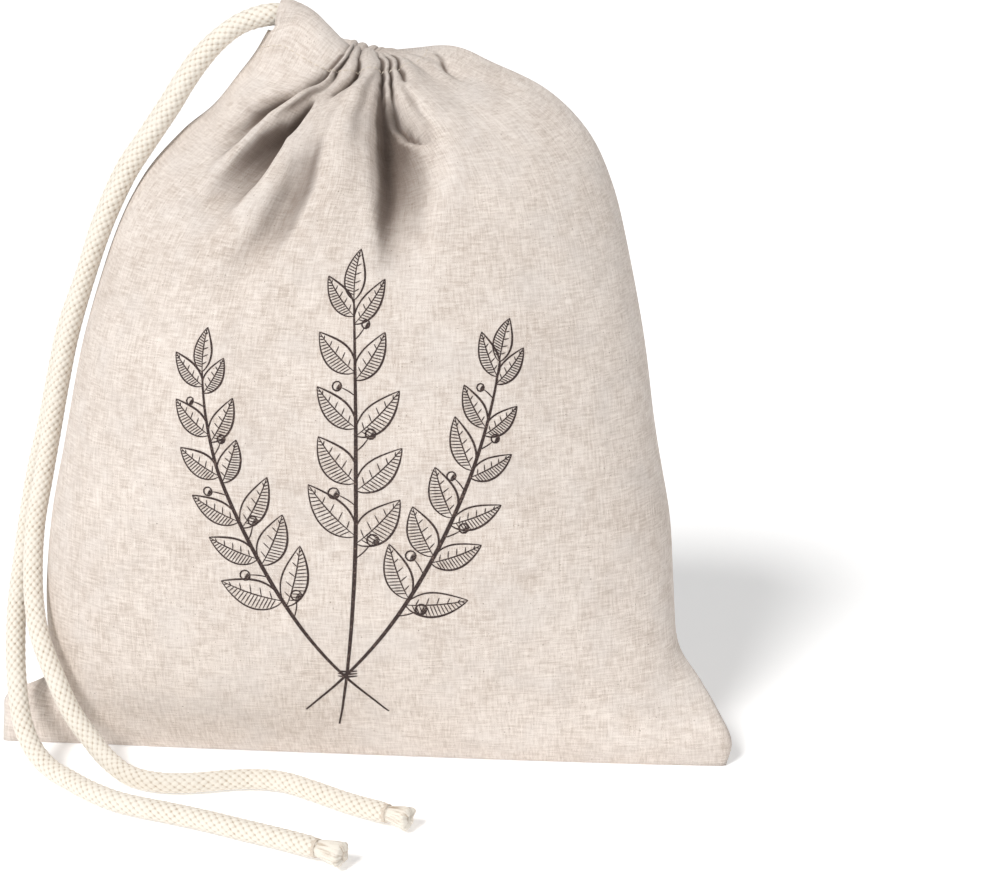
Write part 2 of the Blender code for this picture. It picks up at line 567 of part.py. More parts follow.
def ring_vertices(mesh, row, columns):
    """Adds a closed ring of vertices: the front from left to right, then the back to the left."""
    front = panel_points(row, columns, False)
    back = panel_points(row, columns, True)
    ring = np.concatenate([front, back[-2:0:-1]])
    return [mesh.verts.new(point) for point in ring]


def bridge(mesh, lower, upper):
    """Quads between two rings of the same size."""
    count = len(lower)
    for i in range(count):
        j = (i + 1) % count
        mesh.faces.new((lower[i], lower[j], upper[j], upper[i]))


def bridge_finer(mesh, lower, upper):
    """Faces between a ring and one above it with twice as many vertices."""
    count = len(lower)
    for i in range(count):
        j = (i + 1) % count
        middle = upper[2 * i + 1]
        mesh.faces.new((lower[i], middle, upper[2 * i]))
        mesh.faces.new((lower[i], lower[j], middle))
        mesh.faces.new((lower[j], upper[(2 * i + 2) % (2 * count)], middle))


def close_base(mesh, ring):
    """The flat base: cloth that runs back over the floor from the fold at the front edge."""
    half = len(ring) // 2
    front = ring[: half + 1]
    back = [ring[0]] + ring[: half - 1 : -1]
    columns = []
    for i in range(1, half):
        column = [front[i]]
        for k in range(1, BASE_ROWS):
            point = front[i].co.lerp(back[i].co, k / BASE_ROWS)
            column.append(mesh.verts.new(point))
        column.append(back[i])
        columns.append(column)
    for left, right in zip(columns[:-1], columns[1:]):
        for k in range(BASE_ROWS):
            mesh.faces.new((left[k], left[k + 1], right[k + 1], right[k]))
    for k in range(BASE_ROWS):
        mesh.faces.new((front[0], columns[0][k + 1], columns[0][k]))
        mesh.faces.new((front[half], columns[-1][k], columns[-1][k + 1]))


def add_hem(mesh, foot):
    """The hem turned in around the drawstring, from the foot ring over the top and down inside."""
    half = FINE_COLUMNS
    places = np.linspace(0, 1, half + 1)[NOTCH_COLUMNS:]
    previous = foot[NOTCH_COLUMNS : 2 * half - NOTCH_COLUMNS + 1]
    for part in HEM_STEPS[1:]:
        front = hem_points(places, part, False)
        back = hem_points(places, part, True)
        points = np.concatenate([front, back[-2::-1]])
        points[half - NOTCH_COLUMNS] = (front[-1] + back[-1]) / 2
        current = [mesh.verts.new(point) for point in points]
        for i in range(len(current) - 1):
            mesh.faces.new((previous[i], previous[i + 1], current[i + 1], current[i]))
        previous = current


def make_object(name, mesh, material, collection):
    """Puts a bmesh in the scene as a smooth-shaded object."""
    data = bpy.data.meshes.new(name)
    mesh.to_mesh(data)
    mesh.free()
    data.shade_smooth()
    data.materials.append(material)
    item = bpy.data.objects.new(name, data)
    collection.objects.link(item)
    return item


def add_bag(material, collection):
    """The bag: an open sheet of cloth, thickened inwards."""
    mesh = bmesh.new()
    ring = ring_vertices(mesh, COARSE_ROWS[0], COARSE_COLUMNS)
    close_base(mesh, ring)
    for row in COARSE_ROWS[1:]:
        upper = ring_vertices(mesh, row, COARSE_COLUMNS)
        bridge(mesh, ring, upper)
        ring = upper
    upper = ring_vertices(mesh, FINE_ROWS[0], FINE_COLUMNS)
    bridge_finer(mesh, ring, upper)
    ring = upper
    for row in FINE_ROWS[1:]:
        upper = ring_vertices(mesh, row, FINE_COLUMNS)
        bridge(mesh, ring, upper)
        ring = upper
    add_hem(mesh, ring)
    bag = make_object("bag_body", mesh, material, collection)
    thicken = bag.modifiers.new("cloth", "SOLIDIFY")
    thicken.thickness = CLOTH_THICKNESS
    thicken.offset = -1
    return bag


def cord_points():
    """The whole drawstring as one list of places, from the front end to the rear end."""
    return np.array(FRONT_TAIL[::-1] + LOOP + REAR_TAIL)


def add_cord(name, first, last, steps, material, collection):
    """A length of the drawstring, from its place in the hem outwards, as a round tube."""
    dense = smooth(cord_points(), np.linspace(first, last, CORD_SAMPLES))
    ends = CORD_JOINT_GAP / 2 / lengths(dense)[-1]
    points = along(dense, ends + (1 - 2 * ends) * np.array(steps))
    curve = bpy.data.curves.new(name, "CURVE")
    curve.dimensions = "3D"
    curve.bevel_depth = CORD_DIAMETER / 2
    curve.bevel_resolution = 2
    curve.use_fill_caps = True
    spline = curve.splines.new("POLY")
    spline.points.add(len(points) - 1)
    for point, place in zip(spline.points, points):
        point.co = (*place, 1.0)
    curve.materials.append(material)
    cord = bpy.data.objects.new(name, curve)
    collection.objects.link(cord)
    return cord


def add_tuft(name, end, before, material, collection):
    """The whipped, blunt end of the cord: a turned shape past the cord's last point."""
    mesh = bmesh.new()
    verts = [mesh.verts.new((radius, 0, past)) for past, radius in TUFT_PROFILE]
    for lower, upper in zip(verts[:-1], verts[1:]):
        mesh.edges.new((lower, upper))
    tuft = make_object(name, mesh, material, collection)
    spin = tuft.modifiers.new("turn", "SCREW")
    spin.steps = TUFT_SIDES
    spin.render_steps = TUFT_SIDES
    spin.use_merge_vertices = True
    spin.merge_threshold = 0.00005
    spin.use_normal_calculate = True
    ahead = Vector(end) - Vector(before)
    tuft.location = end
    tuft.rotation_mode = "QUATERNION"
    tuft.rotation_quaternion = ahead.to_track_quat("Z", "Y")
    return tuft


def make_material(name, colour, roughness):
    """A plain cloth material."""
    material = bpy.data.materials.new(name)
    material.use_nodes = True
    shader = material.node_tree.nodes["Principled BSDF"]
    shader.inputs["Base Color"].default_value = (*colour, 1.0)
    shader.inputs["Roughness"].default_value = roughness
    shader.inputs["Metallic"].default_value = 0.0
    return material


def main():
    for item in list(bpy.data.objects):
        bpy.data.objects.remove(item, do_unlink=True)
    collection = bpy.data.collections.new("linen_bread_bag")
    bpy.context.scene.collection.children.link(collection)
    linen = make_material("linen", (0.66, 0.58, 0.51), 0.9)
    cotton = make_material("cotton", (0.84, 0.76, 0.62), 0.85)
    add_bag(linen, collection)
    front_joint = len(FRONT_TAIL) - 1
    rear_joint = front_joint + len(LOOP) + 1
    last = rear_joint + len(REAR_TAIL) - 1
    loop_steps = np.linspace(0, 1, LOOP_STEPS + 1)
    loop_steps = np.sort(np.append(loop_steps, (JOINT_STEP, 1 - JOINT_STEP)))
    tail_steps = np.linspace(0, 1, TAIL_STEPS + 1) ** TAIL_STEP_GROWTH
    tail_steps = np.sort(np.append(tail_steps, JOINT_STEP / 4))
    add_cord("cord_loop", front_joint, rear_joint, loop_steps, cotton, collection)
    add_cord("cord_front_tail", front_joint, 0, tail_steps, cotton, collection)
    add_cord("cord_rear_tail", rear_joint, last, tail_steps, cotton, collection)
    add_tuft("cord_front_tuft", FRONT_TAIL[-1], FRONT_TAIL[-2], cotton, collection)
    add_tuft("cord_rear_tuft", REAR_TAIL[-1], REAR_TAIL[-2], cotton, collection)


main()
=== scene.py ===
"""Linen bread bag, standing filled and drawn shut, with a braided cotton drawstring.

Metres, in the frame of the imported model: X runs across the bag, the front panel faces -Y and the
base stands on z = 0. Rings of the cloth are counted by row from the base to the hem, and places
across a panel run from 0 at the left seam to 1 at the right seam. Tables that say so are in
millimetres.
"""
import math
from collections import namedtuple

import bpy
import numpy as np
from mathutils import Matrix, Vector, noise


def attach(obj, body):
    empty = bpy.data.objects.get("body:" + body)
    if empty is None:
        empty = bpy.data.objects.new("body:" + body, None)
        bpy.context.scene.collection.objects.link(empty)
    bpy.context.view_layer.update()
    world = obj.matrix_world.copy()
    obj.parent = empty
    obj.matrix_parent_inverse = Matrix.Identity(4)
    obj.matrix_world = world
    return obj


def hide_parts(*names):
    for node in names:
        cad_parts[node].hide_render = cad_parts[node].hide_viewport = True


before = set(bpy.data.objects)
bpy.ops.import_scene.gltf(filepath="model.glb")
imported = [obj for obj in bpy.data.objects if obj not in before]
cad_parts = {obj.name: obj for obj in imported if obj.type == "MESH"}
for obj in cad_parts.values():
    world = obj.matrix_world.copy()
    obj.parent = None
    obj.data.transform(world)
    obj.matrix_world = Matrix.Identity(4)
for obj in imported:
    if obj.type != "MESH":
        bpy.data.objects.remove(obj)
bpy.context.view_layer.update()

MM_PER_METRE = 1000
MM = 1 / MM_PER_METRE
NO_LENGTH = 1e-12


def in_metres(*points):
    """Points in millimetres as points in metres."""
    return tuple(tuple(size / MM_PER_METRE for size in point) for point in points)


# The cloth, as solid as the model's and as thin as it shows, the cord and its room in the hem
CLOTH_THICKNESS = 0.0011
SHOWN_THICKNESS = 0.0006
CORD_DIAMETER = 0.0075
CORD_CLEARANCE = 0.0010
SLEEVE_RADIUS = CORD_DIAMETER / 2 + CORD_CLEARANCE + CLOTH_THICKNESS

# The camera, from the picture's viewing angle
CAMERA_PLACE = (0.08625, -0.70951, 0.34537)
CAMERA_AZIMUTH = 2.89
CAMERA_ELEVATION = 18.0
CAMERA_LENS = 70.0
CAMERA_SENSOR = 36.0
CAMERA_NEAR = 0.01

# Daylight from the left, and the floor under the bag
KEY_TOWARD = (-0.48, -0.60, 0.85)
KEY_POWER = 2.50
KEY_WIDTH = 18.0
KEY_COLOUR = (1.0, 0.99, 0.975)
FILL_TOWARD = (0.85, -0.45, 0.25)
FILL_POWER = 0.42
FILL_WIDTH = 45.0
FILL_COLOUR = (1.0, 0.99, 0.98)
SKY_STRENGTH = 0.36
WHITE = (1.0, 1.0, 1.0, 1.0)
FLOOR_SIZE = 24.0
FLOOR_GAP = 0.0003
FLOOR_GLOW = 0.28
FLOOR_DARK = (0.93, 0.93, 0.93, 1.0)
FLOOR_LIGHT = (0.95, 0.95, 0.95, 1.0)

# The bag's outline in millimetres, one row for each ring of cloth from the base to the foot of
# the hem. A ring passes its left and right side seams, the middle of the front and the middle of
# the back. square is 2 for an ellipse and more for squarer shoulders. The corners of the base
# fold stick out by left_ear and right_ear.
Ring = namedtuple(
    "Ring",
    "left_x left_y left_z left_ear right_x right_y right_z right_ear "
    "front_y front_z back_y back_z square",
)
RINGS = tuple(Ring(*in_metres(sizes)[0], square) for *sizes, square in (
    (-118, -39, 0, 22.5, 119, -46, 0, 19.5, -44, 0, 46, 0, 3.4),
    (-120, -37, 10, 20, 119, -43, 9, 21.5, -51, 10, 54, 10, 3.2),
    (-121, -34, 18, 17.5, 119, -39, 20, 16, -54, 18, 57, 18, 3),
    (-121, -31, 25, 2, 119, -35, 31, 9, -57, 27, 59, 27, 2.8),
    (-123, -25, 39, 0, 119, -28, 42, 1, -60, 40, 61, 40, 2.6),
    (-124, -16, 62, 0, 118, -18, 62, 0, -62, 60, 63, 60, 2.5),
    (-121.5, -9, 88, 0, 116, -11, 88, 0, -63, 88, 63, 88, 2.4),
    (-114.5, -4, 120, 0, 110, -5, 120, 0, -62, 120, 61, 120, 2.3),
    (-107, 0, 155, 0, 105, 0, 155, 0, -58, 155, 57, 155, 2.2),
    (-95, 1, 190, 0, 98, 1, 190, 0, -52, 188, 51, 188, 2.15),
    (-82.5, 1, 214, 0, 92, 1, 213, 0, -45.5, 208, 44, 208, 2.1),
    (-67, 0, 231, 0, 83, 0, 232, 0, -37, 224, 37, 223, 2.05),
    (-54.5, 0, 241, 0, 68, 0, 247, 0, -29.5, 236, 31, 235, 2),
    (-45, 0, 252, 0, 48, 0, 256.8, 0, -23.5, 246.5, 24.5, 245.5, 2),
    (-38.5, 0, 260, 0, 33, 0, 262.4, 0, -18.2, 250.8, 19, 250, 2.1),
    (-33.5, 0, 268, 0, 12.5, 0, 259.2, 0, -13.8, 259, 13.8, 258.5, 2.3),
))
EAR_WIDTH = 0.008

# The drawstring, from one free end to the other: down the side of the bag and over the floor
# in front of it, then round the mouth in the hem. Each point is a place of the cord's middle,
# in millimetres.
FRONT_TAIL = in_metres(
    (-22.8, -6.6, 272.3), (-25.1, -6.4, 273.6), (-28, -6.2, 274.4), (-32.6, -6.2, 274.1),
    (-37.8, -6, 272.7), (-44.6, -5.7, 269.5), (-52, -5.4, 263.6), (-58.5, -5.2, 256.4),
    (-64, -5.1, 249), (-69.8, -5.1, 240.2), (-79.5, -5.6, 226.8), (-87.5, -6.4, 215),
    (-96.6, -7.6, 197), (-104.6, -8.8, 176.5), (-111.6, -9.8, 155.5), (-116.6, -10.4, 136),
    (-120.4, -11.4, 119), (-124, -14.6, 101), (-126.8, -20.5, 83.5), (-126.6, -29, 68),
    (-124.4, -37.8, 55.5), (-120.6, -45.2, 45), (-113, -53, 31), (-107.2, -57, 21),
    (-99.8, -61, 12.5), (-93, -65.5, 7), (-83.5, -72.5, 4.2), (-72.5, -76.8, 3.8), (-60, -77, 3.8),
    (-45.2, -73.8, 3.8), (-35.4, -72.8, 3.8), (-25.1, -74.5, 3.8), (-14.5, -80, 3.8),
    (1, -89.3, 3.8), (16, -97.3, 4.4),
)
REAR_TAIL = in_metres(
    (-22.8, 6.6, 270.3), (-25.1, 6.4, 271.5), (-28, 6.2, 272.2), (-32.8, 6, 272.4),
    (-39.5, 5.6, 271.2), (-46, 5, 268.6), (-54, 4.4, 263), (-60.8, 4, 256.4), (-66.4, 3.6, 249),
    (-72.2, 3.3, 240.4), (-82, 2.8, 226.8), (-90, 2.2, 215.5), (-99.2, 1.4, 196.8),
    (-106.8, 0.8, 176.5), (-115.2, 0, 155.5), (-120.5, -1.2, 135.5), (-124.6, -2.4, 118.5),
    (-129.4, -4.4, 101), (-132.2, -10.4, 83.5), (-133.4, -18.4, 68.8), (-133.8, -28.4, 54.5),
    (-132.6, -38.4, 42), (-130.2, -48.4, 30), (-126.2, -58, 17.5), (-120.5, -64.5, 9),
    (-113, -70.5, 4.8), (-104.5, -76.8, 3.8), (-95.1, -84.5, 3.8), (-83.9, -91.6, 3.8),
    (-73.8, -95.7, 3.8), (-63.7, -98.9, 3.8), (-49.2, -103.9, 3.8), (-34, -110, 3.8),
    (-18.6, -116.3, 4), (-5.5, -123, 4.6),
)
LOOP = in_metres(
    (-20.5, -7, 271.1), (-17.2, -7.5, 268.8), (-13.8, -8.2, 265.7), (-9.8, -8.8, 261.8),
    (-5.5, -9.2, 258.3), (-0.5, -9.2, 256.1), (4.5, -8.4, 255.1), (8.7, -5.7, 254.5),
    (10.5, 0, 254.2), (8.7, 5.6, 254.1), (4.5, 8.2, 254.3), (-0.5, 8.9, 255.4), (-5.5, 8.9, 257.1),
    (-9.8, 8.6, 258.5), (-13.8, 8.1, 261.1), (-17.2, 7.5, 265.1), (-20.5, 7, 268.7),
)

# The gather: where places of the cloth, counted across a panel from 0 at the left seam to 1 at
# the right, lie along the rings near the mouth. Below the first of these rings they lie evenly.
GATHER_PLACES = (0, 0.155, 0.25, 0.355, 0.45, 0.55, 0.62, 0.70, 0.885, 1)
GATHER_ROWS = (10.5, 11.8, 12.4, 12.9, 13.4, 13.9, 14.4, 15)
GATHER_SHARES = (
    (0, 0.155, 0.252, 0.360, 0.436, 0.535, 0.612, 0.697, 0.885, 1),
    (0, 0.167, 0.267, 0.352, 0.427, 0.512, 0.590, 0.680, 0.882, 1),
    (0, 0.193, 0.306, 0.370, 0.442, 0.526, 0.580, 0.674, 0.882, 1),
    (0, 0.262, 0.345, 0.402, 0.480, 0.560, 0.600, 0.680, 0.872, 1),
    (0, 0.322, 0.380, 0.438, 0.511, 0.585, 0.625, 0.685, 0.870, 1),
    (0, 0.375, 0.427, 0.503, 0.555, 0.620, 0.655, 0.705, 0.872, 1),
    (0, 0.465, 0.504, 0.600, 0.645, 0.694, 0.722, 0.758, 0.900, 1),
    (0, 0.622, 0.662, 0.725, 0.785, 0.835, 0.870, 0.905, 0.955, 1),
)

# Folds that run down from the gathered mouth, as points with a ring row, a place of the cloth
# and three sizes in millimetres: the depth into the bag (a ridge is negative), and how far the
# fold reaches left and right of its line.
FOLD_UNITS = (1, 1, MM, MM, MM)
FRONT_FOLDS = (
    (  # crease under the pulled-out corner of the mouth
        (15, 0.155, 2, 2, 1.2), (14.4, 0.155, 3.5, 3, 1.4), (13.9, 0.155, 5.6, 4.5, 1.8),
        (13.4, 0.155, 7.4, 6, 2.4), (12.9, 0.155, 8, 8, 3.5), (12.4, 0.155, 6.6, 9.5, 5.5),
        (11.8, 0.157, 4.6, 11, 8), (11.2, 0.16, 2.4, 12, 9), (10.5, 0.16, 0, 13, 10),
    ),
    (  # ridge below that crease
        (13.8, 0.205, -0.8, 3, 3), (13.2, 0.205, -2.6, 3.5, 3.5), (12.7, 0.205, -3.6, 4.5, 4.5),
        (12, 0.203, -3.6, 6, 6), (11.2, 0.196, -2.6, 8, 7), (10.4, 0.185, 0, 10, 8),
    ),
    (  # crease between the first two pleats
        (15, 0.25, 1.2, 1.2, 1.2), (14.7, 0.25, 2.6, 1.5, 1.5), (14.4, 0.25, 2.2, 2, 2),
        (14, 0.25, 0, 2.5, 2.5),
    ),
    (  # second valley
        (13.1, 0.255, 0, 3, 2.5), (12.7, 0.257, 5, 4.5, 2.5), (12.3, 0.256, 9, 8, 3.2),
        (11.8, 0.255, 10.5, 11, 4.2), (11.2, 0.254, 9.8, 13, 6), (10.6, 0.253, 7.6, 15, 8.5),
        (10, 0.246, 4.4, 16, 11), (9.2, 0.235, 0, 16, 13),
    ),
    (  # tuck under the edge of the middle ridge
        (15, 0.355, 1.2, 1.5, 1.2), (14.6, 0.355, 2.6, 2.2, 1.4), (14.2, 0.355, 3.4, 2.8, 1.5),
        (13.8, 0.352, 3.6, 3.2, 1.7), (13.5, 0.35, 2.8, 3.6, 2), (13.2, 0.347, 1.2, 4, 2.5),
        (12.9, 0.345, 0, 4, 3),
    ),
    (  # soft valley on the left of the middle ridge
        (11.9, 0.362, 0, 9, 9), (11.2, 0.356, 4.2, 10, 10), (10.5, 0.361, 7, 11, 11),
        (9.8, 0.357, 7, 12, 12), (9.2, 0.338, 4.8, 14, 14), (8.4, 0.322, 0, 15, 15),
    ),
    (  # broad middle ridge
        (14.4, 0.45, -0.8, 3, 3), (13.6, 0.45, -2.2, 6, 4.5), (13, 0.45, -3.5, 11, 7),
        (12, 0.448, -4.5, 15, 11), (11.2, 0.44, -4.8, 16, 15), (10.4, 0.445, -3.8, 18, 17),
        (9.6, 0.452, -2, 22, 20), (8.8, 0.455, 0, 24, 22),
    ),
    (  # main valley
        (15, 0.55, 1.6, 1.4, 1.6), (14.5, 0.55, 3, 1.8, 2.2), (13.9, 0.55, 4.2, 2.2, 3),
        (13.4, 0.55, 6, 2.4, 4.5), (12.9, 0.55, 9, 2.8, 8), (12.4, 0.55, 13.5, 3.4, 15.5),
        (11.8, 0.548, 17, 4.2, 23.5), (11.2, 0.541, 16.8, 4.8, 26.5), (10.6, 0.545, 14.2, 6, 24),
        (10.1, 0.555, 10.6, 6.5, 20), (9.6, 0.567, 6.6, 8, 17), (9.1, 0.578, 3, 10, 15),
        (8.6, 0.59, 0, 12, 13),
    ),
    (  # crease that curls away to the right of the main valley
        (15, 0.62, 1.4, 1.2, 1.4), (14.4, 0.62, 2.6, 1.6, 1.8), (13.8, 0.62, 3.6, 2, 2),
        (13.2, 0.62, 5, 3, 2.4), (12.7, 0.62, 7.4, 4.2, 2.8), (12.3, 0.621, 8, 5, 3),
        (12, 0.628, 6.6, 6, 3.5), (11.8, 0.64, 4.4, 6, 4), (11.6, 0.655, 0, 6, 4),
    ),
    (  # lobe of cloth over that crease
        (14.2, 0.73, -1, 3, 6), (13.2, 0.695, -2.5, 4.5, 11), (12.4, 0.682, -3.5, 6, 17),
        (11.8, 0.677, -3, 7, 20), (11, 0.672, -1.6, 10, 22), (10.2, 0.67, 0, 12, 22),
    ),
    (  # short crease beside the mouth
        (15, 0.7, 1.2, 1.2, 1.4), (14.5, 0.7, 2.4, 1.8, 2.2), (14.1, 0.7, 2.2, 2.2, 3),
        (13.7, 0.7, 1, 3, 3.5), (13.4, 0.7, 0, 3, 3.5),
    ),
    (  # crease on the right shoulder
        (14.5, 0.975, 0, 3, 3), (14.2, 0.93, 2, 3, 3.5), (13.8, 0.888, 2.2, 3.5, 4),
        (13.3, 0.872, 1.4, 4, 5), (12.9, 0.865, 0, 4, 5),
    ),
)
BACK_FOLDS = (
    (
        (14.7, 0.15, 1.5, 3, 3), (13.6, 0.16, 4, 4, 5), (12.6, 0.17, 5.2, 7, 6),
        (11.4, 0.18, 3, 11, 9), (10.2, 0.18, 0, 14, 12),
    ),
    (
        (14.8, 0.31, 2, 2.5, 3), (13.7, 0.32, 5, 3.5, 5), (12.6, 0.33, 7.8, 6, 10),
        (11.4, 0.34, 6.5, 9, 13), (10.2, 0.345, 3, 12, 15), (9.2, 0.345, 0, 14, 16),
    ),
    (
        (13.9, 0.44, -1, 5, 5), (12.6, 0.445, -3, 10, 9), (11.2, 0.455, -3, 16, 14),
        (9.6, 0.46, 0, 20, 19),
    ),
    (
        (14.8, 0.54, 2, 3, 2.5), (13.8, 0.545, 5, 5, 3.5), (12.8, 0.55, 7, 9, 4.5),
        (11.8, 0.555, 6, 12, 6), (10.8, 0.57, 3.5, 13, 9), (9.8, 0.58, 0, 14, 12),
    ),
    (
        (14.6, 0.7, 1.5, 3, 3), (13.4, 0.705, 4.2, 5, 5), (12.4, 0.71, 4.8, 7, 8),
        (11.4, 0.715, 2.6, 10, 11), (10.4, 0.72, 0, 12, 14),
    ),
    (
        (14.3, 0.85, 1, 3, 3), (13.4, 0.85, 2.4, 4, 5), (12.4, 0.845, 2, 6, 7),
        (11.4, 0.84, 0, 8, 9),
    ),
)

# The cloth doesn't bend round a fold more tightly than this. A side of a valley with the short
# reach is a sharp crease, and one with the long reach is a soft trough.
FOLD_RADIUS = 0.0002
SHARP_REACH = 0.0030
SOFT_REACH = 0.0070
FOLD_ROUNDNESS = 5.0
FOLD_START_ROWS = 0.4
SEAM_FADE = 0.012
ROW_STEP = 0.05

# Soft hollows (and swellings, negative) pressed into the filled cloth: ring row, place of the
# cloth, depth, and how far the hollow reaches along the ring and up the bag
Hollow = namedtuple("Hollow", "row place depth wide high")
FRONT_HOLLOWS = (
    Hollow(12.9, 0.885, 0.0018, 0.018, 0.012),
    Hollow(14.1, 0.940, 0.0010, 0.010, 0.006),
    Hollow(6.4, 0.300, 0.0012, 0.045, 0.035),
    Hollow(4.6, 0.820, 0.0010, 0.035, 0.030),
    Hollow(8.4, 0.640, -0.0012, 0.040, 0.030),
)
BACK_HOLLOWS = (
    Hollow(5.2, 0.420, 0.0022, 0.060, 0.035),
    Hollow(8.0, 0.700, 0.0020, 0.045, 0.035),
    Hollow(6.8, 0.180, -0.0015, 0.040, 0.035),
)

# Pleats of the mouth: the places of the valleys between them and the height in millimetres of the
# pleat that follows each valley. They start at the hem and fade out down the cloth.
Pleat = namedtuple("Pleat", "place height")
FRONT_PLEATS = (
    Pleat(0, 0.2), Pleat(0.155, 1.7), Pleat(0.25, 1.8), Pleat(0.355, 2.2), Pleat(0.55, 1),
    Pleat(0.62, 0.9), Pleat(0.7, 1.2), Pleat(0.81, 1), Pleat(0.9, 0.8), Pleat(1, 0),
)
BACK_PLEATS = (
    Pleat(0, 0.2), Pleat(0.14, 1.2), Pleat(0.24, 1.4), Pleat(0.37, 1.6), Pleat(0.5, 1.4),
    Pleat(0.61, 1.3), Pleat(0.72, 1.6), Pleat(0.86, 1.3), Pleat(1, 0),
)
PLEAT_FADE_ROWS = (12.6, 14.3)

# How finely the cloth is laid out: rows of the body are counted between two rings of the outline
COLUMNS = 135
NOTCH_COLUMNS = 5
BASE_ROWS = 6
BODY_ROWS = ((0, 3, 14), (3, 9, 52), (9, 12, 34), (12, 15, 34))
HEM_ROWS = 22
RING_SAMPLES = 400
LOOP_SAMPLES = 160

# The hem's sleeve: where it starts and ends round the cord in degrees, and how pleats swell it
HEM_START_TURNS = (-45, 12, 25, 42, 62, 85)
HEM_START_SHARES = (0, 0.15, 0.60, 0.80, 0.93, 1)
HEM_END_TURN = 264
HEM_BLEND_FROM = 13.4
HEM_AHEAD_STEP = 0.01
PLEAT_SWELL_TURN = 0.35
PLEAT_SWELL_RATE = 0.6
PLEAT_ROUND = 0.8
TOP_ROW = len(RINGS) - 1

# The linen's threads, its slubs and its colours, and how far the painted shade in its folds darkens it
THREAD_PITCH = 0.00046
THREAD_DRIFT = 0.0042
SLUB_WIDTH = 0.0008
SLUB_LENGTH = 0.0075
LINEN_DARK = (0.500, 0.415, 0.355, 1.0)
LINEN_LIGHT = (0.860, 0.785, 0.725, 1.0)
LINEN_COOL = (0.700, 0.655, 0.625, 1.0)
# The colour of the painted shade deep in the folds
LINEN_PAINTED_SHADE = (0.110, 0.072, 0.052, 1.0)
LINEN_SHEEN = (1.0, 0.96, 0.93, 1.0)
FLECK_COLOUR = (0.20, 0.14, 0.10, 1.0)
FLECK_SCALES = (1100.0, 1300.0)
MOTTLE_SCALE = 110.0
CLOUD_SCALE = 24.0
COOL_SCALE = 60.0
HOLLOW_SHADE = 0.86

# How deep and how far apart folds are that get painted shade
Shade = namedtuple("Shade", "depth reach")
SHADES = (Shade(0.0019, 0.0036), Shade(0.0108, 0.0255))

# The soft unevenness of the cloth, and where it fades out: in columns and rows of the mesh
Rumple = namedtuple("Rumple", "size height")
RUMPLES = (Rumple(0.050, 0.0012), Rumple(0.017, 0.0003))
SEAM_COLUMNS = 8
CALM_BASE_ROWS = 12
CALM_TOP_ROWS = 30

# Where the threads stop following the outline, where the back panel's threads start, and the
# cloth turned over in the hem
THREADS_TOP_ROW = 7
BACK_ACROSS = 0.80
HEM_CLOTH = 0.030

# The hem's stitches: how far along and how high each point of a stitch is
STITCH_ROWS = (14.35, 14.40, 14.45)
STITCH_COLUMNS = 400
STITCH_DIAMETER = 0.00036
STITCH_PITCH = 0.0026
STITCH_LENGTH = 0.0019
STITCH_ARCH = ((0.0, -0.0002), (0.2, 0.00012), (0.8, 0.00012), (1.0, -0.0002))

# The print: sprigs that fan out from a tie, in millimetres and degrees on the cloth
Sprig = namedtuple("Sprig", "foot_x foot_y heading bend length first_leaf pairs leaf_length leaf_width")
SPRIGS = (
    Sprig(-7.0, 20.0, 80.0, 16.0, 170.0, 0.50, 5, 31.0, 13.5),
    Sprig(-19.0, 29.0, 45.0, 34.0, 158.0, 0.42, 6, 27.0, 12.0),
    Sprig(12.0, 28.0, 134.0, -34.0, 152.0, 0.42, 6, 27.0, 12.0),
)

# Leaves from a sprig's foot to its tip: how large they are, how far they lean and how they vary
LEAF_SIZES = (1.08, 0.58)
LEAF_LEANS = (68.0, 42.0)
LEAN_SPREAD = 6.0
LENGTH_SPREAD = (0.88, 1.10)
WIDTH_SPREAD = (0.9, 1.1)
LAST_LEAF = 0.97
TIP_LEAF = 0.6
SPREAD_SEED = 11

# The tie, the widths of the inked lines, the berries, the shading and the ink
TIE_X = -2.6
TIE_Y = 47.0
TIE_HALF = 3.6
TIE_SAG = 0.5
TIE_PITCH = 1.2
TIE_LINE = 0.868
STEM_LINE = 1.5
LEAF_LINE = 0.62
RIB_LINE = 0.50
HATCH_LINE = 0.42
LEAF_BEND = -16.0
BERRY_STALK = 1.7
BERRY_SIZE = 0.40
BERRY_LEAN = 50.0
BERRY_BEND = 20.0
BERRY_SHADES = (0.20, 0.40, 0.60, 0.80)
BERRY_SHADE_ARC = (-110, 50)
LEAF_POINTS = 19
STEM_POINTS = 60
HATCH_POINTS = 4
HATCH_REACH = 0.92
VEIN_REACH = 0.6
VEIN_EVERY = 3
INK_DARK = (0.035, 0.020, 0.018, 1.0)
INK_WORN = (0.16, 0.11, 0.09, 1.0)
INK_TAPER = 0.35
INK_STEP = 1.2
INK_HEIGHT = 0.00010
INK_ENDS = (0.02, 0.98)
JUST_INSIDE = 0.001

# The braid: strands each way round the cord, their pitch along it and the height of the relief
BRAID_STRANDS = 8
BRAID_PITCH = 0.0033
BRAID_CORE = 0.00305
BRAID_PLUMP = 0.00042
BRAID_WAVE = 0.00032
CORD_SIDES = 56
CORD_RING_STEP = 0.0005
ROUTE_SAMPLES = 4000
NECK_LENGTH = 0.004
NECK_SHARE = 0.80
# The cotton's colours: the darkest is painted shade between the braid's strands, also reached by the
# fibres' own uneven tone
COTTON_FIBRES_AND_PAINTED_SHADE = (0.40, 0.285, 0.185, 1.0)
COTTON_LIGHT = (0.825, 0.775, 0.690, 1.0)
COTTON_CLOUD = (0.865, 0.825, 0.755, 1.0)

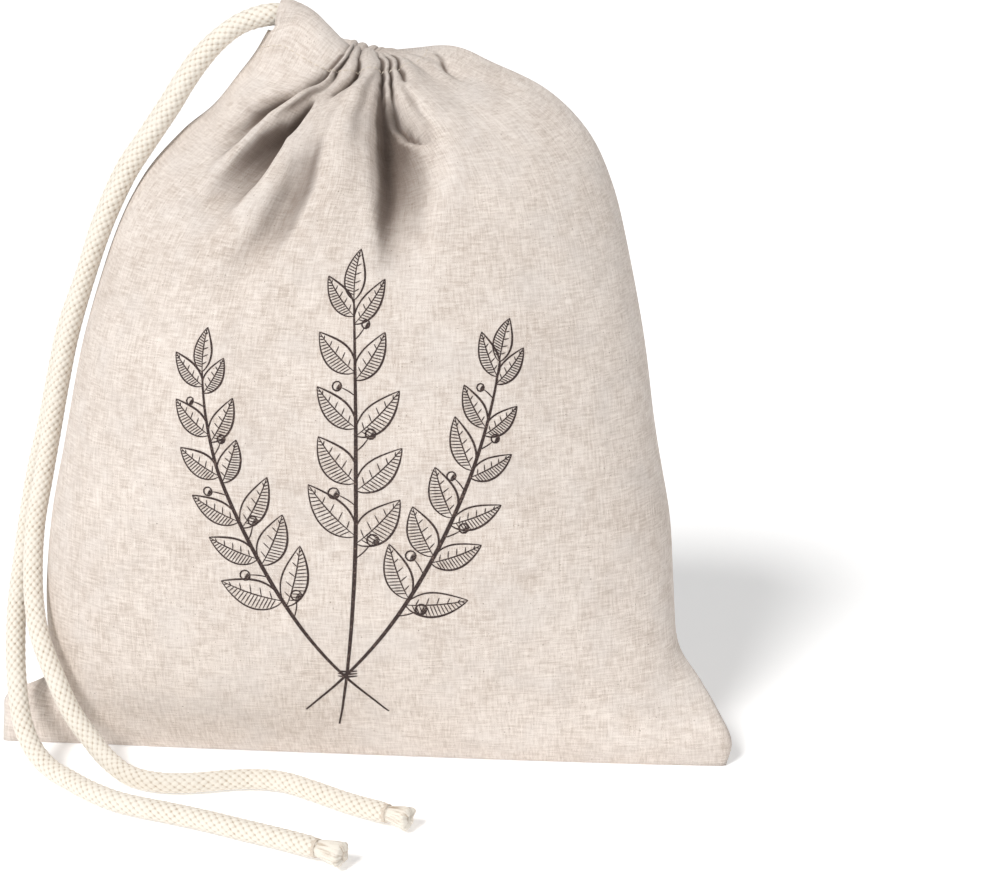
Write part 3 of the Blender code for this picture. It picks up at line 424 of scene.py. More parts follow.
# The tufts: radius from the whipping to the blunt end, and each one's own shape. Lobes, locks and
# fibres make them uneven, each with how fine it is round the tuft and along it.
TUFT_PROFILE = ((0, 0.0030), (0.06, 0.0033), (0.35, 0.0040), (0.70, 0.0044), (0.88, 0.0037), (1, 0.0017))
TUFT_ROWS = 30
TUFT_SIDES = 72
TUFT_START = 0.0002
TUFT_FLOOR = 0.0002
TUFT_LUMPS = ((1.4, 0.8), (5.5, 1.6), (17.0, 3.0))
LOBE_SWELL = 0.13
LOCK_SWELL = 0.05
LOBE_REACH = 0.16
LOCK_REACH = 0.03
TUFT_SEED = 90
TUFT_TONE = 0.68
LOCK_TONE = 0.45
FIBRE_TONE = 0.40
Tuft = namedtuple("Tuft", "length wide flat")
FRONT_TUFT = Tuft(0.0085, 1.05, 0.95)
REAR_TUFT = Tuft(0.0100, 1.25, 0.85)

# The thread wound round the cord's end, from far to near its end
WHIPPING_THREAD = 0.00044
WHIPPING_RADIUS = 0.00318
WHIPPING_TURNS = 4.5
WHIPPING_STEPS = 100
WHIPPING_FAR = 0.0020
WHIPPING_NEAR = 0.0003
WHIPPING_RING = -6
THREAD_DARK = (0.58, 0.49, 0.40, 1.0)
THREAD_LIGHT = (0.80, 0.73, 0.64, 1.0)


def smooth(points, at):
    """Catmull-Rom curve through rows of numbers, read at the given row positions."""
    points = np.asarray(points, float)
    last = len(points) - 1
    points = np.concatenate([[2 * points[0] - points[1]], points, [2 * points[-1] - points[-2]]])
    at = np.clip(np.asarray(at, float), 0, last)
    cell = np.minimum(at.astype(int), last - 1)
    part = (at - cell)[..., None]
    before, start, end, after = (points[cell + i] for i in range(4))
    return 0.5 * (
        2 * start
        + (end - before) * part
        + (2 * before - 5 * start + 4 * end - after) * part**2
        + (3 * start - before - 3 * end + after) * part**3
    )


def lengths(points):
    """Distance along a polyline to each of its points."""
    steps = np.linalg.norm(np.diff(points, axis=0), axis=1)
    return np.concatenate(([0.0], np.cumsum(steps)))


def unit(vectors):
    """Vectors in the same directions, one metre long."""
    return vectors / np.maximum(np.linalg.norm(vectors, axis=-1, keepdims=True), NO_LENGTH)


def along(points, shares):
    """Points at shares of a polyline's length."""
    reach = lengths(points)
    return np.stack([np.interp(shares, reach / reach[-1], points[:, i]) for i in range(3)], -1)


def panel_curve(row, is_back):
    """One panel's curve at a ring row, from the left seam to the right seam."""
    ring = Ring(*smooth(RINGS, row))
    middle_y = ring.back_y if is_back else ring.front_y
    middle_z = ring.back_z if is_back else ring.front_z
    turn = np.linspace(0, math.pi, RING_SAMPLES)
    power = 2 / ring.square
    across = (1 - np.sign(np.cos(turn)) * np.abs(np.cos(turn)) ** power) / 2
    out = np.abs(np.sin(turn)) ** power
    left = np.array((ring.left_x, ring.left_y, ring.left_z))
    right = np.array((ring.right_x, ring.right_y, ring.right_z))
    curve = left + (right - left) * across[:, None]
    curve[:, 1] += (middle_y - (ring.left_y + ring.right_y) / 2) * out
    curve[:, 2] += (middle_z - (ring.left_z + ring.right_z) / 2) * out
    reach = lengths(curve)
    curve[:, 0] -= ring.left_ear * np.exp(-((reach / EAR_WIDTH) ** 2))
    curve[:, 0] += ring.right_ear * np.exp(-(((reach[-1] - reach) / EAR_WIDTH) ** 2))
    return curve


def loop_curve(is_back):
    """Half of the drawstring's loop in the hem, from the left seam to the far right."""
    points = np.array(FRONT_TAIL[2::-1] + LOOP + REAR_TAIL[:3])
    middle = len(points) // 2
    if is_back:
        points = points[::-1]
    return smooth(points, np.linspace(0, middle, LOOP_SAMPLES))


def gathered(row, places):
    """Shares of a ring at which places of the cloth lie."""
    table = np.array(GATHER_SHARES)
    shares = [np.interp(row, GATHER_ROWS, table[:, i]) for i in range(len(GATHER_PLACES))]
    return np.interp(places, GATHER_PLACES, shares)


def pleat_height(places, is_back):
    """How far the pleats stand out at places of the cloth, where they are whole."""
    pleats = BACK_PLEATS if is_back else FRONT_PLEATS
    height = np.zeros_like(places)
    for pleat, following in zip(pleats[:-1], pleats[1:]):
        part = np.clip((places - pleat.place) / (following.place - pleat.place), 0, 1)
        height += pleat.height * MM * np.sin(math.pi * part) ** PLEAT_ROUND
    return height


def hem_points(places, part, is_back):
    """Points on the hem's sleeve, from its foot (part 0) round the cord to its edge (part 1)."""
    first = gathered(TOP_ROW, NOTCH_COLUMNS / COLUMNS)
    shares = np.clip((gathered(TOP_ROW, places) - first) / (1 - first), 0, 1)
    curve = loop_curve(is_back)
    middle = along(curve, shares)
    before = along(curve, np.clip(shares - HEM_AHEAD_STEP, 0, 1))
    ahead = unit(along(curve, np.clip(shares + HEM_AHEAD_STEP, 0, 1)) - before)
    side = unit(np.cross(ahead, (0.0, 0.0, 1.0)) * (-1 if is_back else 1))
    up = np.cross(side, ahead) * (-1 if is_back else 1)
    start = np.interp(shares, HEM_START_SHARES, HEM_START_TURNS)
    turn = np.radians(start + (HEM_END_TURN - start) * part)[:, None]
    swell = np.maximum(0, np.cos((turn - PLEAT_SWELL_TURN) * PLEAT_SWELL_RATE))
    radius = SLEEVE_RADIUS + pleat_height(places, is_back)[:, None] * swell
    return middle + radius * (np.cos(turn) * side + np.sin(turn) * up)


def fold_depth(row, places, width, is_back):
    """How deep the folds, pleats and hollows press the cloth in at places of a ring."""
    shares = gathered(row, places)
    fade = np.clip((row - PLEAT_FADE_ROWS[0]) / (PLEAT_FADE_ROWS[1] - PLEAT_FADE_ROWS[0]), 0, 1)
    depth = -pleat_height(places, is_back) * fade * fade * (3 - 2 * fade)
    for fold in BACK_FOLDS if is_back else FRONT_FOLDS:
        table = np.array(fold)[::-1] * FOLD_UNITS
        if not table[0, 0] <= row <= table[-1, 0] + FOLD_START_ROWS:
            continue
        place, deep, left, right = (np.interp(row, table[:, 0], table[:, i]) for i in (1, 2, 3, 4))
        deep *= min(1.0, (table[-1, 0] + FOLD_START_ROWS - row) / FOLD_START_ROWS)
        column = float(np.interp(place, places, np.gradient(shares))) * width
        least = max(2 * column, math.sqrt(FOLD_ROUNDNESS * abs(deep) * FOLD_RADIUS))
        offset = (shares - gathered(row, place)) * width
        reach = np.where(offset < 0, max(left, least), max(right, least))
        part = np.clip(np.abs(offset) / reach, 0, 1)
        trough = (1 + np.cos(math.pi * part)) / 2
        crease = 1 - np.sin(math.pi * part / 2)
        sharp = np.clip((SOFT_REACH - reach) / (SOFT_REACH - SHARP_REACH), 0, 1) * (deep > 0)
        depth += deep * (trough + (crease - trough) * sharp)
    for hollow in BACK_HOLLOWS if is_back else FRONT_HOLLOWS:
        rise = Ring(*smooth(RINGS, row)).front_z - Ring(*smooth(RINGS, hollow.row)).front_z
        offset = (shares - gathered(row, hollow.place)) * width
        depth += hollow.depth * np.exp(-((offset / hollow.wide) ** 2) - (rise / hollow.high) ** 2)
    return depth


def panel_points(row, columns, is_back):
    """Points of one panel on a ring, with its folds, from the left seam to the right seam."""
    places = np.linspace(0, 1, columns + 1)
    shares = gathered(row, places)
    curves = [panel_curve(min(max(row + d, 0), TOP_ROW), is_back) for d in (-ROW_STEP, 0, ROW_STEP)]
    below, here, above = (along(curve, shares) for curve in curves)
    normal = unit(np.cross(np.gradient(here, axis=0), above - below) * (-1 if is_back else 1))
    width = lengths(curves[1])[-1]
    seam_fade = np.clip(np.minimum(shares, 1 - shares) * width / SEAM_FADE, 0, 1)
    depth = fold_depth(row, places, width, is_back) * seam_fade
    lift, whole = lift_to_hem(row, places, is_back)
    return here + lift - normal * depth[:, None] * (1 - whole * whole)


def lift_to_hem(row, places, is_back):
    """The move that leads a top ring of the cloth into the foot of the hem, and how whole it is."""
    part = max(0.0, (row - HEM_BLEND_FROM) / (TOP_ROW - HEM_BLEND_FROM))
    whole = part * part * (3 - 2 * part)
    if whole == 0:
        return np.zeros((len(places), 3)), whole
    top_curve = along(panel_curve(TOP_ROW, is_back), gathered(TOP_ROW, places))
    reach = np.clip(places / NOTCH_COLUMNS * COLUMNS, 0, 1)[:, None]
    reach = reach * reach * (3 - 2 * reach)
    return (hem_points(places, 0, is_back) - top_curve) * reach * whole, whole


def link(item, material):
    """Puts a piece in the scene on the bag's body, with its material."""
    bpy.context.scene.collection.objects.link(item)
    item.data.materials.append(material)
    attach(item, "root")
    return item


def mesh_piece(name, points, faces, material):
    """A smooth-shaded mesh piece."""
    data = bpy.data.meshes.new(name)
    data.from_pydata([tuple(point) for point in points], [], faces)
    data.validate()
    data.shade_smooth()
    return link(bpy.data.objects.new(name, data), material)


# --- camera and light ---


def add_camera():
    """The camera at the picture's viewing angle."""
    camera = bpy.data.cameras.new("camera")
    camera.lens = CAMERA_LENS
    camera.sensor_width = CAMERA_SENSOR
    camera.sensor_fit = "HORIZONTAL"
    camera.clip_start = CAMERA_NEAR
    item = bpy.data.objects.new("camera", camera)
    item.location = CAMERA_PLACE
    item.rotation_euler = (math.radians(90 - CAMERA_ELEVATION), 0, math.radians(CAMERA_AZIMUTH))
    bpy.context.scene.collection.objects.link(item)
    bpy.context.scene.camera = item


def add_light(name, toward, angle, power, colour):
    """A soft distant light, which shines from a direction and is as wide as an angle."""
    light = bpy.data.lights.new(name, "SUN")
    light.angle = math.radians(angle)
    light.energy = power
    light.color = colour
    item = bpy.data.objects.new(name, light)
    item.rotation_mode = "QUATERNION"
    item.rotation_quaternion = Vector(toward).to_track_quat("Z", "Y")
    bpy.context.scene.collection.objects.link(item)


def add_studio():
    """A pale floor, a pale sky and soft lights."""
    world = bpy.data.worlds.new("studio")
    world.use_nodes = True
    background = world.node_tree.nodes["Background"]
    background.inputs["Color"].default_value = WHITE
    background.inputs["Strength"].default_value = SKY_STRENGTH
    bpy.context.scene.world = world
    bpy.context.scene.view_settings.view_transform = "Standard"
    add_light("key", KEY_TOWARD, KEY_WIDTH, KEY_POWER, KEY_COLOUR)
    add_light("fill", FILL_TOWARD, FILL_WIDTH, FILL_POWER, FILL_COLOUR)
    bpy.ops.mesh.primitive_plane_add(size=FLOOR_SIZE, location=(0, 0, -FLOOR_GAP))
    floor = bpy.context.object
    floor.name = "floor"
    floor.data.materials.append(floor_material())


# --- materials ---


class Nodes:
    """Short calls for building a material's node tree."""

    def __init__(self, name):
        self.material = bpy.data.materials.new(name)
        self.material.use_nodes = True
        self.tree = self.material.node_tree
        self.shader = self.tree.nodes["Principled BSDF"]

    def put(self, socket, target):
        """Joins a socket, or sets a value, on an input."""
        if isinstance(target, (int, float, tuple)):
            socket.default_value = target
        else:
            self.tree.links.new(target, socket)

    def set(self, **targets):
        """Sets or joins the shader's own sockets: Base_Color=..., Roughness=..."""
        for name, target in targets.items():
            self.put(self.shader.inputs[name.replace("_", " ")], target)

    def add(self, kind, inputs, output=0, **settings):
        """A node with its settings and its inputs by name or number. Returns one output."""
        node = self.tree.nodes.new("ShaderNode" + kind)
        for name, value in settings.items():
            setattr(node, name, value)
        for key, target in inputs.items():
            self.put(node.inputs[key], target)
        return node.outputs[output]

    def math(self, operation, a, b=0.0):
        """A math node."""
        return self.add("Math", {0: a, 1: b}, operation=operation)

    def times(self, a, b):
        """The product of two values."""
        return self.math("MULTIPLY", a, b)

    def attribute(self, name):
        """A value kept at the mesh's points."""
        return self.add("Attribute", {}, "Fac", attribute_name=name)

    def uv(self, layer):
        """The two coordinates of a UV layer, in metres."""
        both = self.add("UVMap", {}, uv_map=layer)
        return [self.add("SeparateXYZ", {0: both}, axis) for axis in ("X", "Y")]

    def vector(self, x, y, z):
        """A vector from three parts."""
        return self.add("CombineXYZ", {0: x, 1: y, 2: z})

    def noise(self, scale, detail=2.0, rough=0.5, at=None):
        """A noise texture's value at a vector, or at the point on the object, in metres."""
        at = at or self.add("TexCoord", {}, "Object")
        inputs = {"Vector": at, "Scale": scale, "Detail": detail, "Roughness": rough}
        return self.add("TexNoise", inputs)

    def ramp(self, value, low, high, to_high=1.0):
        """A value mapped smoothly from a range to 0 and up."""
        inputs = {"Value": value, "From Min": low, "From Max": high, "To Max": to_high}
        return self.add("MapRange", inputs, interpolation_type="SMOOTHSTEP")

    def mix(self, part, a, b):
        """A colour mixed from two by a part."""
        return self.add("Mix", {0: part, 6: a, 7: b}, 2, data_type="RGBA")

    def bump(self, height, distance, strength):
        """Joins a height to the shader's normal."""
        inputs = {"Height": height, "Distance": distance, "Strength": strength}
        self.set(Normal=self.add("Bump", inputs))


def thread_streaks(nodes, across, along, seed):
    """Each thread's own tone, which drifts along it: 0 to 1."""
    index = nodes.math("FLOOR", nodes.math("DIVIDE", across, THREAD_PITCH))
    return nodes.noise(1.0, at=nodes.vector(index, nodes.times(along, 1 / THREAD_DRIFT), seed))


def slubs(nodes, across, along, seed):
    """Thicker and thinner stretches of a few threads side by side: 0 to 1."""
    wide = nodes.times(across, 1 / SLUB_WIDTH)
    return nodes.noise(1.0, at=nodes.vector(wide, nodes.times(along, 1 / SLUB_LENGTH), seed))


def weighted(nodes, *pairs):
    """The sum of values times their weights."""
    total = nodes.times(*pairs[0])
    for value, weight in pairs[1:]:
        total = nodes.math("ADD", total, nodes.times(value, weight))
    return total


def linen_material():
    """Washed linen: a plain weave of uneven threads, with slubs, flecks, a soft sheen and painted shade
    deep in its folds.
    """
    n = Nodes("linen")
    u, v = n.uv("cloth")
    warp = thread_streaks(n, u, v, 3.1)
    weft = thread_streaks(n, v, u, 17.7)
    turn = math.pi / THREAD_PITCH
    wave = n.times(n.math("SINE", n.times(u, turn)), n.math("SINE", n.times(v, turn)))
    over = n.ramp(wave, -0.3, 0.3)
    thread = n.math("ADD", n.times(warp, over), n.times(weft, n.math("SUBTRACT", 1.0, over)))
    slub_u = slubs(n, u, v, 1.0)
    slub_v = slubs(n, v, u, 9.0)
    mottle = n.noise(MOTTLE_SCALE, 3.0, 0.6)
    cloud = n.noise(CLOUD_SCALE)
    tone = weighted(n, (thread, 0.50), (slub_u, 0.34), (slub_v, 0.34), (mottle, 0.20), (cloud, 0.16))
    base = n.mix(n.ramp(tone, 0.50, 1.00), LINEN_DARK, LINEN_LIGHT)
    base = n.mix(n.ramp(n.noise(COOL_SCALE), 0.40, 0.75, 0.30), base, LINEN_COOL)
    across, up = (n.times(part, scale) for part, scale in zip((u, v), FLECK_SCALES))
    fleck = n.noise(1.0, 0.0, at=n.vector(across, up, 5.0))
    base = n.mix(n.ramp(fleck, 0.79, 0.87, 0.70), base, FLECK_COLOUR)
    # Painted shade: the linen darkens in the deep parts of its folds and between the hem's pleats, by
    # the hollow attribute
    base = n.mix(n.ramp(n.attribute("hollow"), 0.06, 0.90, HOLLOW_SHADE), base, LINEN_PAINTED_SHADE)
    height = weighted(n, (n.math("ABSOLUTE", wave), 0.55), (thread, 0.8), (slub_u, 0.8), (slub_v, 0.8))
    n.bump(height, 0.0002, 0.75)
    n.set(Base_Color=base, Roughness=0.92, Specular_IOR_Level=0.2)
    n.set(Sheen_Weight=0.20, Sheen_Roughness=0.55, Sheen_Tint=LINEN_SHEEN)
    return n.material


def cotton_material():
    """Soft undyed cotton: warm cream with fine fibres, and painted shade between the strands."""
    n = Nodes("cotton")
    fibres = n.noise(2600.0, rough=0.6)
    # Painted shade: the cord darkens where its braid's relief is low, between the strands; the fibres
    # and the tufts' locks add their own uneven tone
    tone = n.math("ADD", n.attribute("relief"), n.times(n.math("SUBTRACT", fibres, 0.5), 0.5))
    base = n.mix(n.ramp(tone, 0.12, 0.80), COTTON_FIBRES_AND_PAINTED_SHADE, COTTON_LIGHT)
    base = n.mix(n.ramp(n.noise(90.0), 0.35, 0.70, 0.25), base, COTTON_CLOUD)
    n.bump(fibres, 0.00016, 0.7)
    n.set(Base_Color=base, Roughness=0.88, Specular_IOR_Level=0.25)
    n.set(Sheen_Weight=0.3, Sheen_Roughness=0.5)
    return n.material


def thread_material():
    """Sewing thread in the cloth's colour."""
    n = Nodes("thread")
    twist = n.noise(5200.0, 1.0)
    n.bump(twist, 0.0001, 0.6)
    n.set(Base_Color=n.mix(n.ramp(twist, 0.3, 0.7), THREAD_DARK, THREAD_LIGHT), Roughness=0.75)
    return n.material


def ink_material():
    """Dark brown printing ink, worn where the threads stand up."""
    n = Nodes("ink")
    wear = n.noise(1500.0, rough=0.6)
    n.bump(wear, 0.0001, 0.5)
    n.set(Base_Color=n.mix(n.ramp(wear, 0.52, 0.72), INK_DARK, INK_WORN), Roughness=0.85)
    return n.material


def floor_material():
    """A plain pale floor."""
    n = Nodes("floor")
    n.set(Base_Color=n.mix(n.noise(30.0), FLOOR_DARK, FLOOR_LIGHT), Roughness=0.8)
    n.set(Emission_Color=WHITE, Emission_Strength=FLOOR_GLOW)
    return n.material


# --- the drawstring ---


def braid_relief(turn, distance):
    """Height of the braid over its core at angles round the cord and distances along it, 0 to 1."""
    a = distance / BRAID_PITCH + BRAID_STRANDS * turn / (2 * math.pi)
    b = distance / BRAID_PITCH - BRAID_STRANDS * turn / (2 * math.pi)
    across_a = a - np.floor(a)
    across_b = b - np.floor(b)
    over = 1 - 2 * ((np.floor(a) + np.floor(b)) % 2)
    round_a = np.sqrt(np.clip(1 - (2 * across_a - 1) ** 2, 0, 1))
    round_b = np.sqrt(np.clip(1 - (2 * across_b - 1) ** 2, 0, 1))
    strand_a = over * np.sin(math.pi * across_b) * BRAID_WAVE + round_a * BRAID_PLUMP
    strand_b = -over * np.sin(math.pi * across_a) * BRAID_WAVE + round_b * BRAID_PLUMP
    return np.maximum(strand_a, strand_b) / (BRAID_WAVE + BRAID_PLUMP)


def carried_frames(points):
    """Directions ahead and two across at each point of a line, carried along without twist."""
    ahead = unit(np.gradient(points, axis=0))
    side = np.zeros_like(points)
    current = np.cross(ahead[0], (0.0, 1.0, 0.0))
    for i, direction in enumerate(ahead):
        current = unit(current - direction * np.dot(current, direction))
        side[i] = current
    return ahead, side, np.cross(ahead, side)


def tube_faces(rings, sides):
    """Faces of a tube of rings of points, closed at both ends."""
    faces = []
    for low in range(0, (rings - 1) * sides, sides):
        for k in range(sides):
            m = (k + 1) % sides
            faces.append((low + k, low + m, low + sides + m, low + sides + k))
    last = (rings - 1) * sides
    return faces + [tuple(range(sides - 1, -1, -1)), tuple(range(last, last + sides))]


def keep_values(item, name, values):
    """Keeps a value at each point of a mesh, for its material."""
    layer = item.data.attributes.new(name, "FLOAT", "POINT")
    layer.data.foreach_set("value", np.clip(values, 0, 1).astype(np.float32).ravel())


def new_wire(name, thickness):
    """A curve of round wires, with no wire in it yet."""
    curve = bpy.data.curves.new(name, "CURVE")
    curve.dimensions = "3D"
    curve.bevel_depth = thickness / 2
    curve.bevel_resolution = 2
    curve.use_fill_caps = True
    return curve


def add_run(curve, places):
    """Adds a wire through places to a curve."""
    spline = curve.splines.new("POLY")
    spline.points.add(len(places) - 1)
    for point, place in zip(spline.points, places):
        point.co = (*place, 1.0)


def add_cord(name, route, material):
    """A braided cord along a route, from the hem to its free end. Returns it and its line."""
    dense = smooth(route, np.linspace(0, len(route) - 1, ROUTE_SAMPLES))
    length = lengths(dense)[-1]
    rings = int(length / CORD_RING_STEP) + 1
    line = along(dense, np.linspace(0, 1, rings))
    distance = lengths(line)[:, None]
    _, side, up = carried_frames(line)
    turn = np.linspace(0, 2 * math.pi, CORD_SIDES, endpoint=False)[None, :]
    relief = braid_relief(turn, distance)
    radius = BRAID_CORE + relief * (BRAID_WAVE + BRAID_PLUMP)
    left = np.clip((length - distance) / NECK_LENGTH, 0, 1)
    radius *= NECK_SHARE + (1 - NECK_SHARE) * np.sin(left * math.pi / 2)
    x, y = (part(turn)[..., None] for part in (np.cos, np.sin))
    points = line[:, None, :] + radius[..., None] * (x * side[:, None, :] + y * up[:, None, :])
    faces = tube_faces(rings, CORD_SIDES)
    cord = mesh_piece(name, points.reshape(-1, 3), faces, material)
    # The braid's relief, which the cotton also turns into painted shade between the strands
    keep_values(cord, "relief", relief)
    return cord, line


def add_tuft(name, line, shape, material):
    """The short fluffy tuft past the cord's whipping, flattened where it lies on the floor."""
    end = line[-1]
    ahead = carried_frames(line)[0][-1]
    level = unit(np.cross((0.0, 0.0, 1.0), ahead))
    across = np.cross(ahead, level)
    seed = end[0] * TUFT_SEED
    points = []
    relief = []
    for part in np.linspace(0, 1, TUFT_ROWS + 1):
        body = np.interp(part, *zip(*TUFT_PROFILE))
        reach = TUFT_START + shape.length * math.sin(part * math.pi / 2) ** 0.8
        wide = 1 + (shape.wide - 1) * part
        flat = 1 + (shape.flat - 1) * part
        for k in range(TUFT_SIDES):
            turn = 2 * math.pi * k / TUFT_SIDES
            x, y = math.cos(turn), math.sin(turn)
            lobe, lock, fibre = (
                noise.noise(Vector((x * fine, y * fine, part * run + seed)))
                for fine, run in TUFT_LUMPS
            )
            radius = body * (1 + LOBE_SWELL * lobe + LOCK_SWELL * part * (lock + fibre))
            uneven = shape.length * (LOBE_REACH * lobe + LOCK_REACH * lock) * part * part
            middle = end + ahead * (reach + uneven)
            points.append(middle + radius * (level * wide * x + across * flat * y))
            relief.append(TUFT_TONE + LOCK_TONE * lock + FIBRE_TONE * fibre)
    tuft = mesh_piece(name, points, tube_faces(TUFT_ROWS + 1, TUFT_SIDES), material)
    lowest = min(point[2] for point in points)
    for vertex in tuft.data.vertices:
        vertex.co.z += max(0.0, TUFT_FLOOR - lowest) if vertex.co.z < end[2] else 0.0
    keep_values(tuft, "relief", np.array(relief))
    return tuft


def add_whipping(name, line, material):
    """Turns of thread that bind the cord's end."""
    ahead, side, up = (part[WHIPPING_RING] for part in carried_frames(line))
    places = []
    for part in np.linspace(0, 1, WHIPPING_STEPS + 1):
        turn = part * WHIPPING_TURNS * 2 * math.pi
        back = WHIPPING_FAR + (WHIPPING_NEAR - WHIPPING_FAR) * part
        out = math.cos(turn) * side + math.sin(turn) * up
        places.append(line[-1] - ahead * back + out * WHIPPING_RADIUS)
    curve = new_wire(name, WHIPPING_THREAD)
    add_run(curve, places)
    return link(bpy.data.objects.new(name, curve), material)


# --- the bag ---


def body_rows():
    """Ring rows from the base to the top, close together near the mouth."""
    rows = [np.linspace(low, high, count, endpoint=False) for low, high, count in BODY_ROWS]
    return np.append(np.concatenate(rows), TOP_ROW)


def full_ring(front, back):
    """A panel's front points and its back points as one closed ring."""
    return np.concatenate([front, back[-2:0:-1]])


def thread_places(row):
    """How far across the cloth the points of a panel's ring are, in metres from the middle."""
    ring = panel_points(min(row, THREADS_TOP_ROW), COLUMNS, False)
    run = lengths(ring)
    return run - np.interp(0.0, ring[:, 0], run)


def sunk(depth, run):
    """How deep points along a line lie between their neighbours, from 0 on top to 1, for the painted
    shade in folds.
    """
    apart = run[:, None] - run[None, :]
    deeper = depth[:, None] - depth[None, :]
    hollow = np.zeros(len(run))
    for shade in SHADES:
        part = deeper / shade.depth - (apart / shade.reach) ** 2
        hollow = np.maximum(hollow, part.max(axis=1))
    return np.clip(hollow, 0, 1)


def painted_fold_shade(row, ring, is_back):
    """How deep in the folds the points of a panel's ring lie: how much painted shade they get."""
    run = lengths(ring)
    return sunk(fold_depth(row, np.linspace(0, 1, len(run)), run[-1], is_back), run)


def outward(grid, is_back):
    """The outward normals of a panel's grid of points."""
    normal = np.cross(np.gradient(grid, axis=1), np.gradient(grid, axis=0))
    return unit(normal * (-1 if is_back else 1))


def rumpled(grid, is_back):
    """A panel's grid of points with the soft unevenness of washed linen."""
    rows, columns = grid.shape[:2]
    from_seam = np.minimum(np.arange(columns), np.arange(columns)[::-1]) / SEAM_COLUMNS
    from_base = np.arange(rows) / CALM_BASE_ROWS
    from_top = np.arange(rows)[::-1] / CALM_TOP_ROWS
    fade = np.clip(np.minimum(from_base, from_top), 0, 1)[:, None] * np.clip(from_seam, 0, 1)[None, :]
    height = [
        sum(rumple.height * noise.noise(Vector(point) / rumple.size) for rumple in RUMPLES)
        for point in grid.reshape(-1, 3)
    ]
    return grid + outward(grid, is_back) * (np.reshape(height, fade.shape) * fade)[..., None]


class Cloth:
    """The bag's cloth as it grows: points, how sunk they lie for the painted shade in folds, faces and
    their threads' places.
    """

    def __init__(self):
        self.points = []
        self.shade = []
        self.faces = []
        self.uv = []
        self.count = 0

    def add(self, points, shade):
        """Adds points with their shade. Returns their numbers."""
        self.points.append(points)
        self.shade.append(shade)
        self.count += len(points)
        return range(self.count - len(points), self.count)


def add_panels(cloth, rows, front, back, across, climb):
    """The front and back panels, one closed ring of points above another."""
    for row, a, b in zip(rows, front, back):
        # Each point's painted shade, from how deep in a fold it lies
        cloth.add(full_ring(a, b), full_ring(painted_fold_shade(row, a, False), painted_fold_shade(row, b, True)))
    around = 2 * COLUMNS
    for r in range(len(rows) - 1):
        low = r * around
        high = low + around
        for i in range(around):
            j = (i + 1) % around
            cloth.faces.append((low + i, low + j, high + j, high + i))
            start, turn = (0.0, 1.0) if i < COLUMNS else (BACK_ACROSS, -1.0)
            a, b = (i, i + 1) if i < COLUMNS else (around - i, around - i - 1)
            for row, place in ((r, a), (r, b), (r + 1, b), (r + 1, a)):
                cloth.uv.append((start + turn * across[row][place], climb[row]))


def add_base(cloth, front, back, across):
    """The base, which runs back over the floor from the lowest front points to the back ones."""
    gaps = back - front
    inner = np.array([
        front[i] + gaps[i] * k / BASE_ROWS
        for i in range(1, COLUMNS)
        for k in range(1, BASE_ROWS)
    ])
    numbers = cloth.add(inner, np.zeros(len(inner)))

    def number(i, k):
        if k == 0 or i in (0, COLUMNS):
            return i
        if k == BASE_ROWS:
            return 2 * COLUMNS - i
        return numbers[(i - 1) * (BASE_ROWS - 1) + k - 1]

    for i in range(COLUMNS):
        for k in range(BASE_ROWS):
            corners = {}
            for a, b in ((i, k), (i, k + 1), (i + 1, k + 1), (i + 1, k)):
                depth = -np.linalg.norm(gaps[a]) * b / BASE_ROWS
                corners.setdefault(number(a, b), (across[a], depth))
            cloth.faces.append(tuple(corners))
            cloth.uv += corners.values()


def add_hem(cloth, top, across, rise):
    """The hem, which turns over the cord from the top ring of points."""
    places = np.linspace(0, 1, COLUMNS + 1)[NOTCH_COLUMNS:]
    middle = COLUMNS - NOTCH_COLUMNS
    below = [top + i for i in range(NOTCH_COLUMNS, 2 * COLUMNS - NOTCH_COLUMNS + 1)]
    starts = np.append(across[NOTCH_COLUMNS:], BACK_ACROSS - across[-2:NOTCH_COLUMNS - 1:-1])
    ends = starts[1:].copy()
    starts[middle] = BACK_ACROSS - across[COLUMNS]
    step = HEM_CLOTH / HEM_ROWS
    for h in range(1, HEM_ROWS + 1):
        front, back = (hem_points(places, h / HEM_ROWS, is_back) for is_back in (False, True))
        ring = np.concatenate([front, back[-2::-1]])
        ring[middle] = (front[-1] + back[-1]) / 2
        # Painted shade in the grooves between the hem's pleats
        shade = sunk(-pleat_height(places, False), lengths(front))
        back_shade = sunk(-pleat_height(places, True), lengths(back))
        above = cloth.add(ring, np.append(shade, back_shade[-2::-1]))
        for i, (a, b) in enumerate(zip(starts, ends)):
            cloth.faces.append((below[i], below[i + 1], above[i + 1], above[i]))
            cloth.uv += [(a, rise), (b, rise), (b, rise + step), (a, rise + step)]
        rise += step
        below = above


def add_bag(material):
    """The bag's cloth, with its folds, hem and seams. Returns the front panel to print on."""
    rows = body_rows()
    front, back = (
        rumpled(np.array([panel_points(row, COLUMNS, is_back) for row in rows]), is_back)
        for is_back in (False, True)
    )
    climb = lengths(front[:, COLUMNS // 3])
    across = np.array([thread_places(row) for row in rows])
    cloth = Cloth()
    add_panels(cloth, rows, front, back, across, climb)
    top = cloth.count - 2 * COLUMNS
    add_base(cloth, front[0], back[0], across[0])
    add_hem(cloth, top, across[-1], climb[-1])
    bag = mesh_piece("bag_cloth", np.concatenate(cloth.points), cloth.faces, material)
    layer = bag.data.uv_layers.new(name="cloth")
    layer.data.foreach_set("uv", np.array(cloth.uv, np.float32).ravel())
    # How deep each point lies in a fold, which the linen turns into painted shade
    keep_values(bag, "hollow", np.concatenate(cloth.shade))
    thicken = bag.modifiers.new("cloth", "SOLIDIFY")
    thicken.thickness = SHOWN_THICKNESS
    thicken.offset = -1
    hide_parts("bag_body")
    return front, across, climb


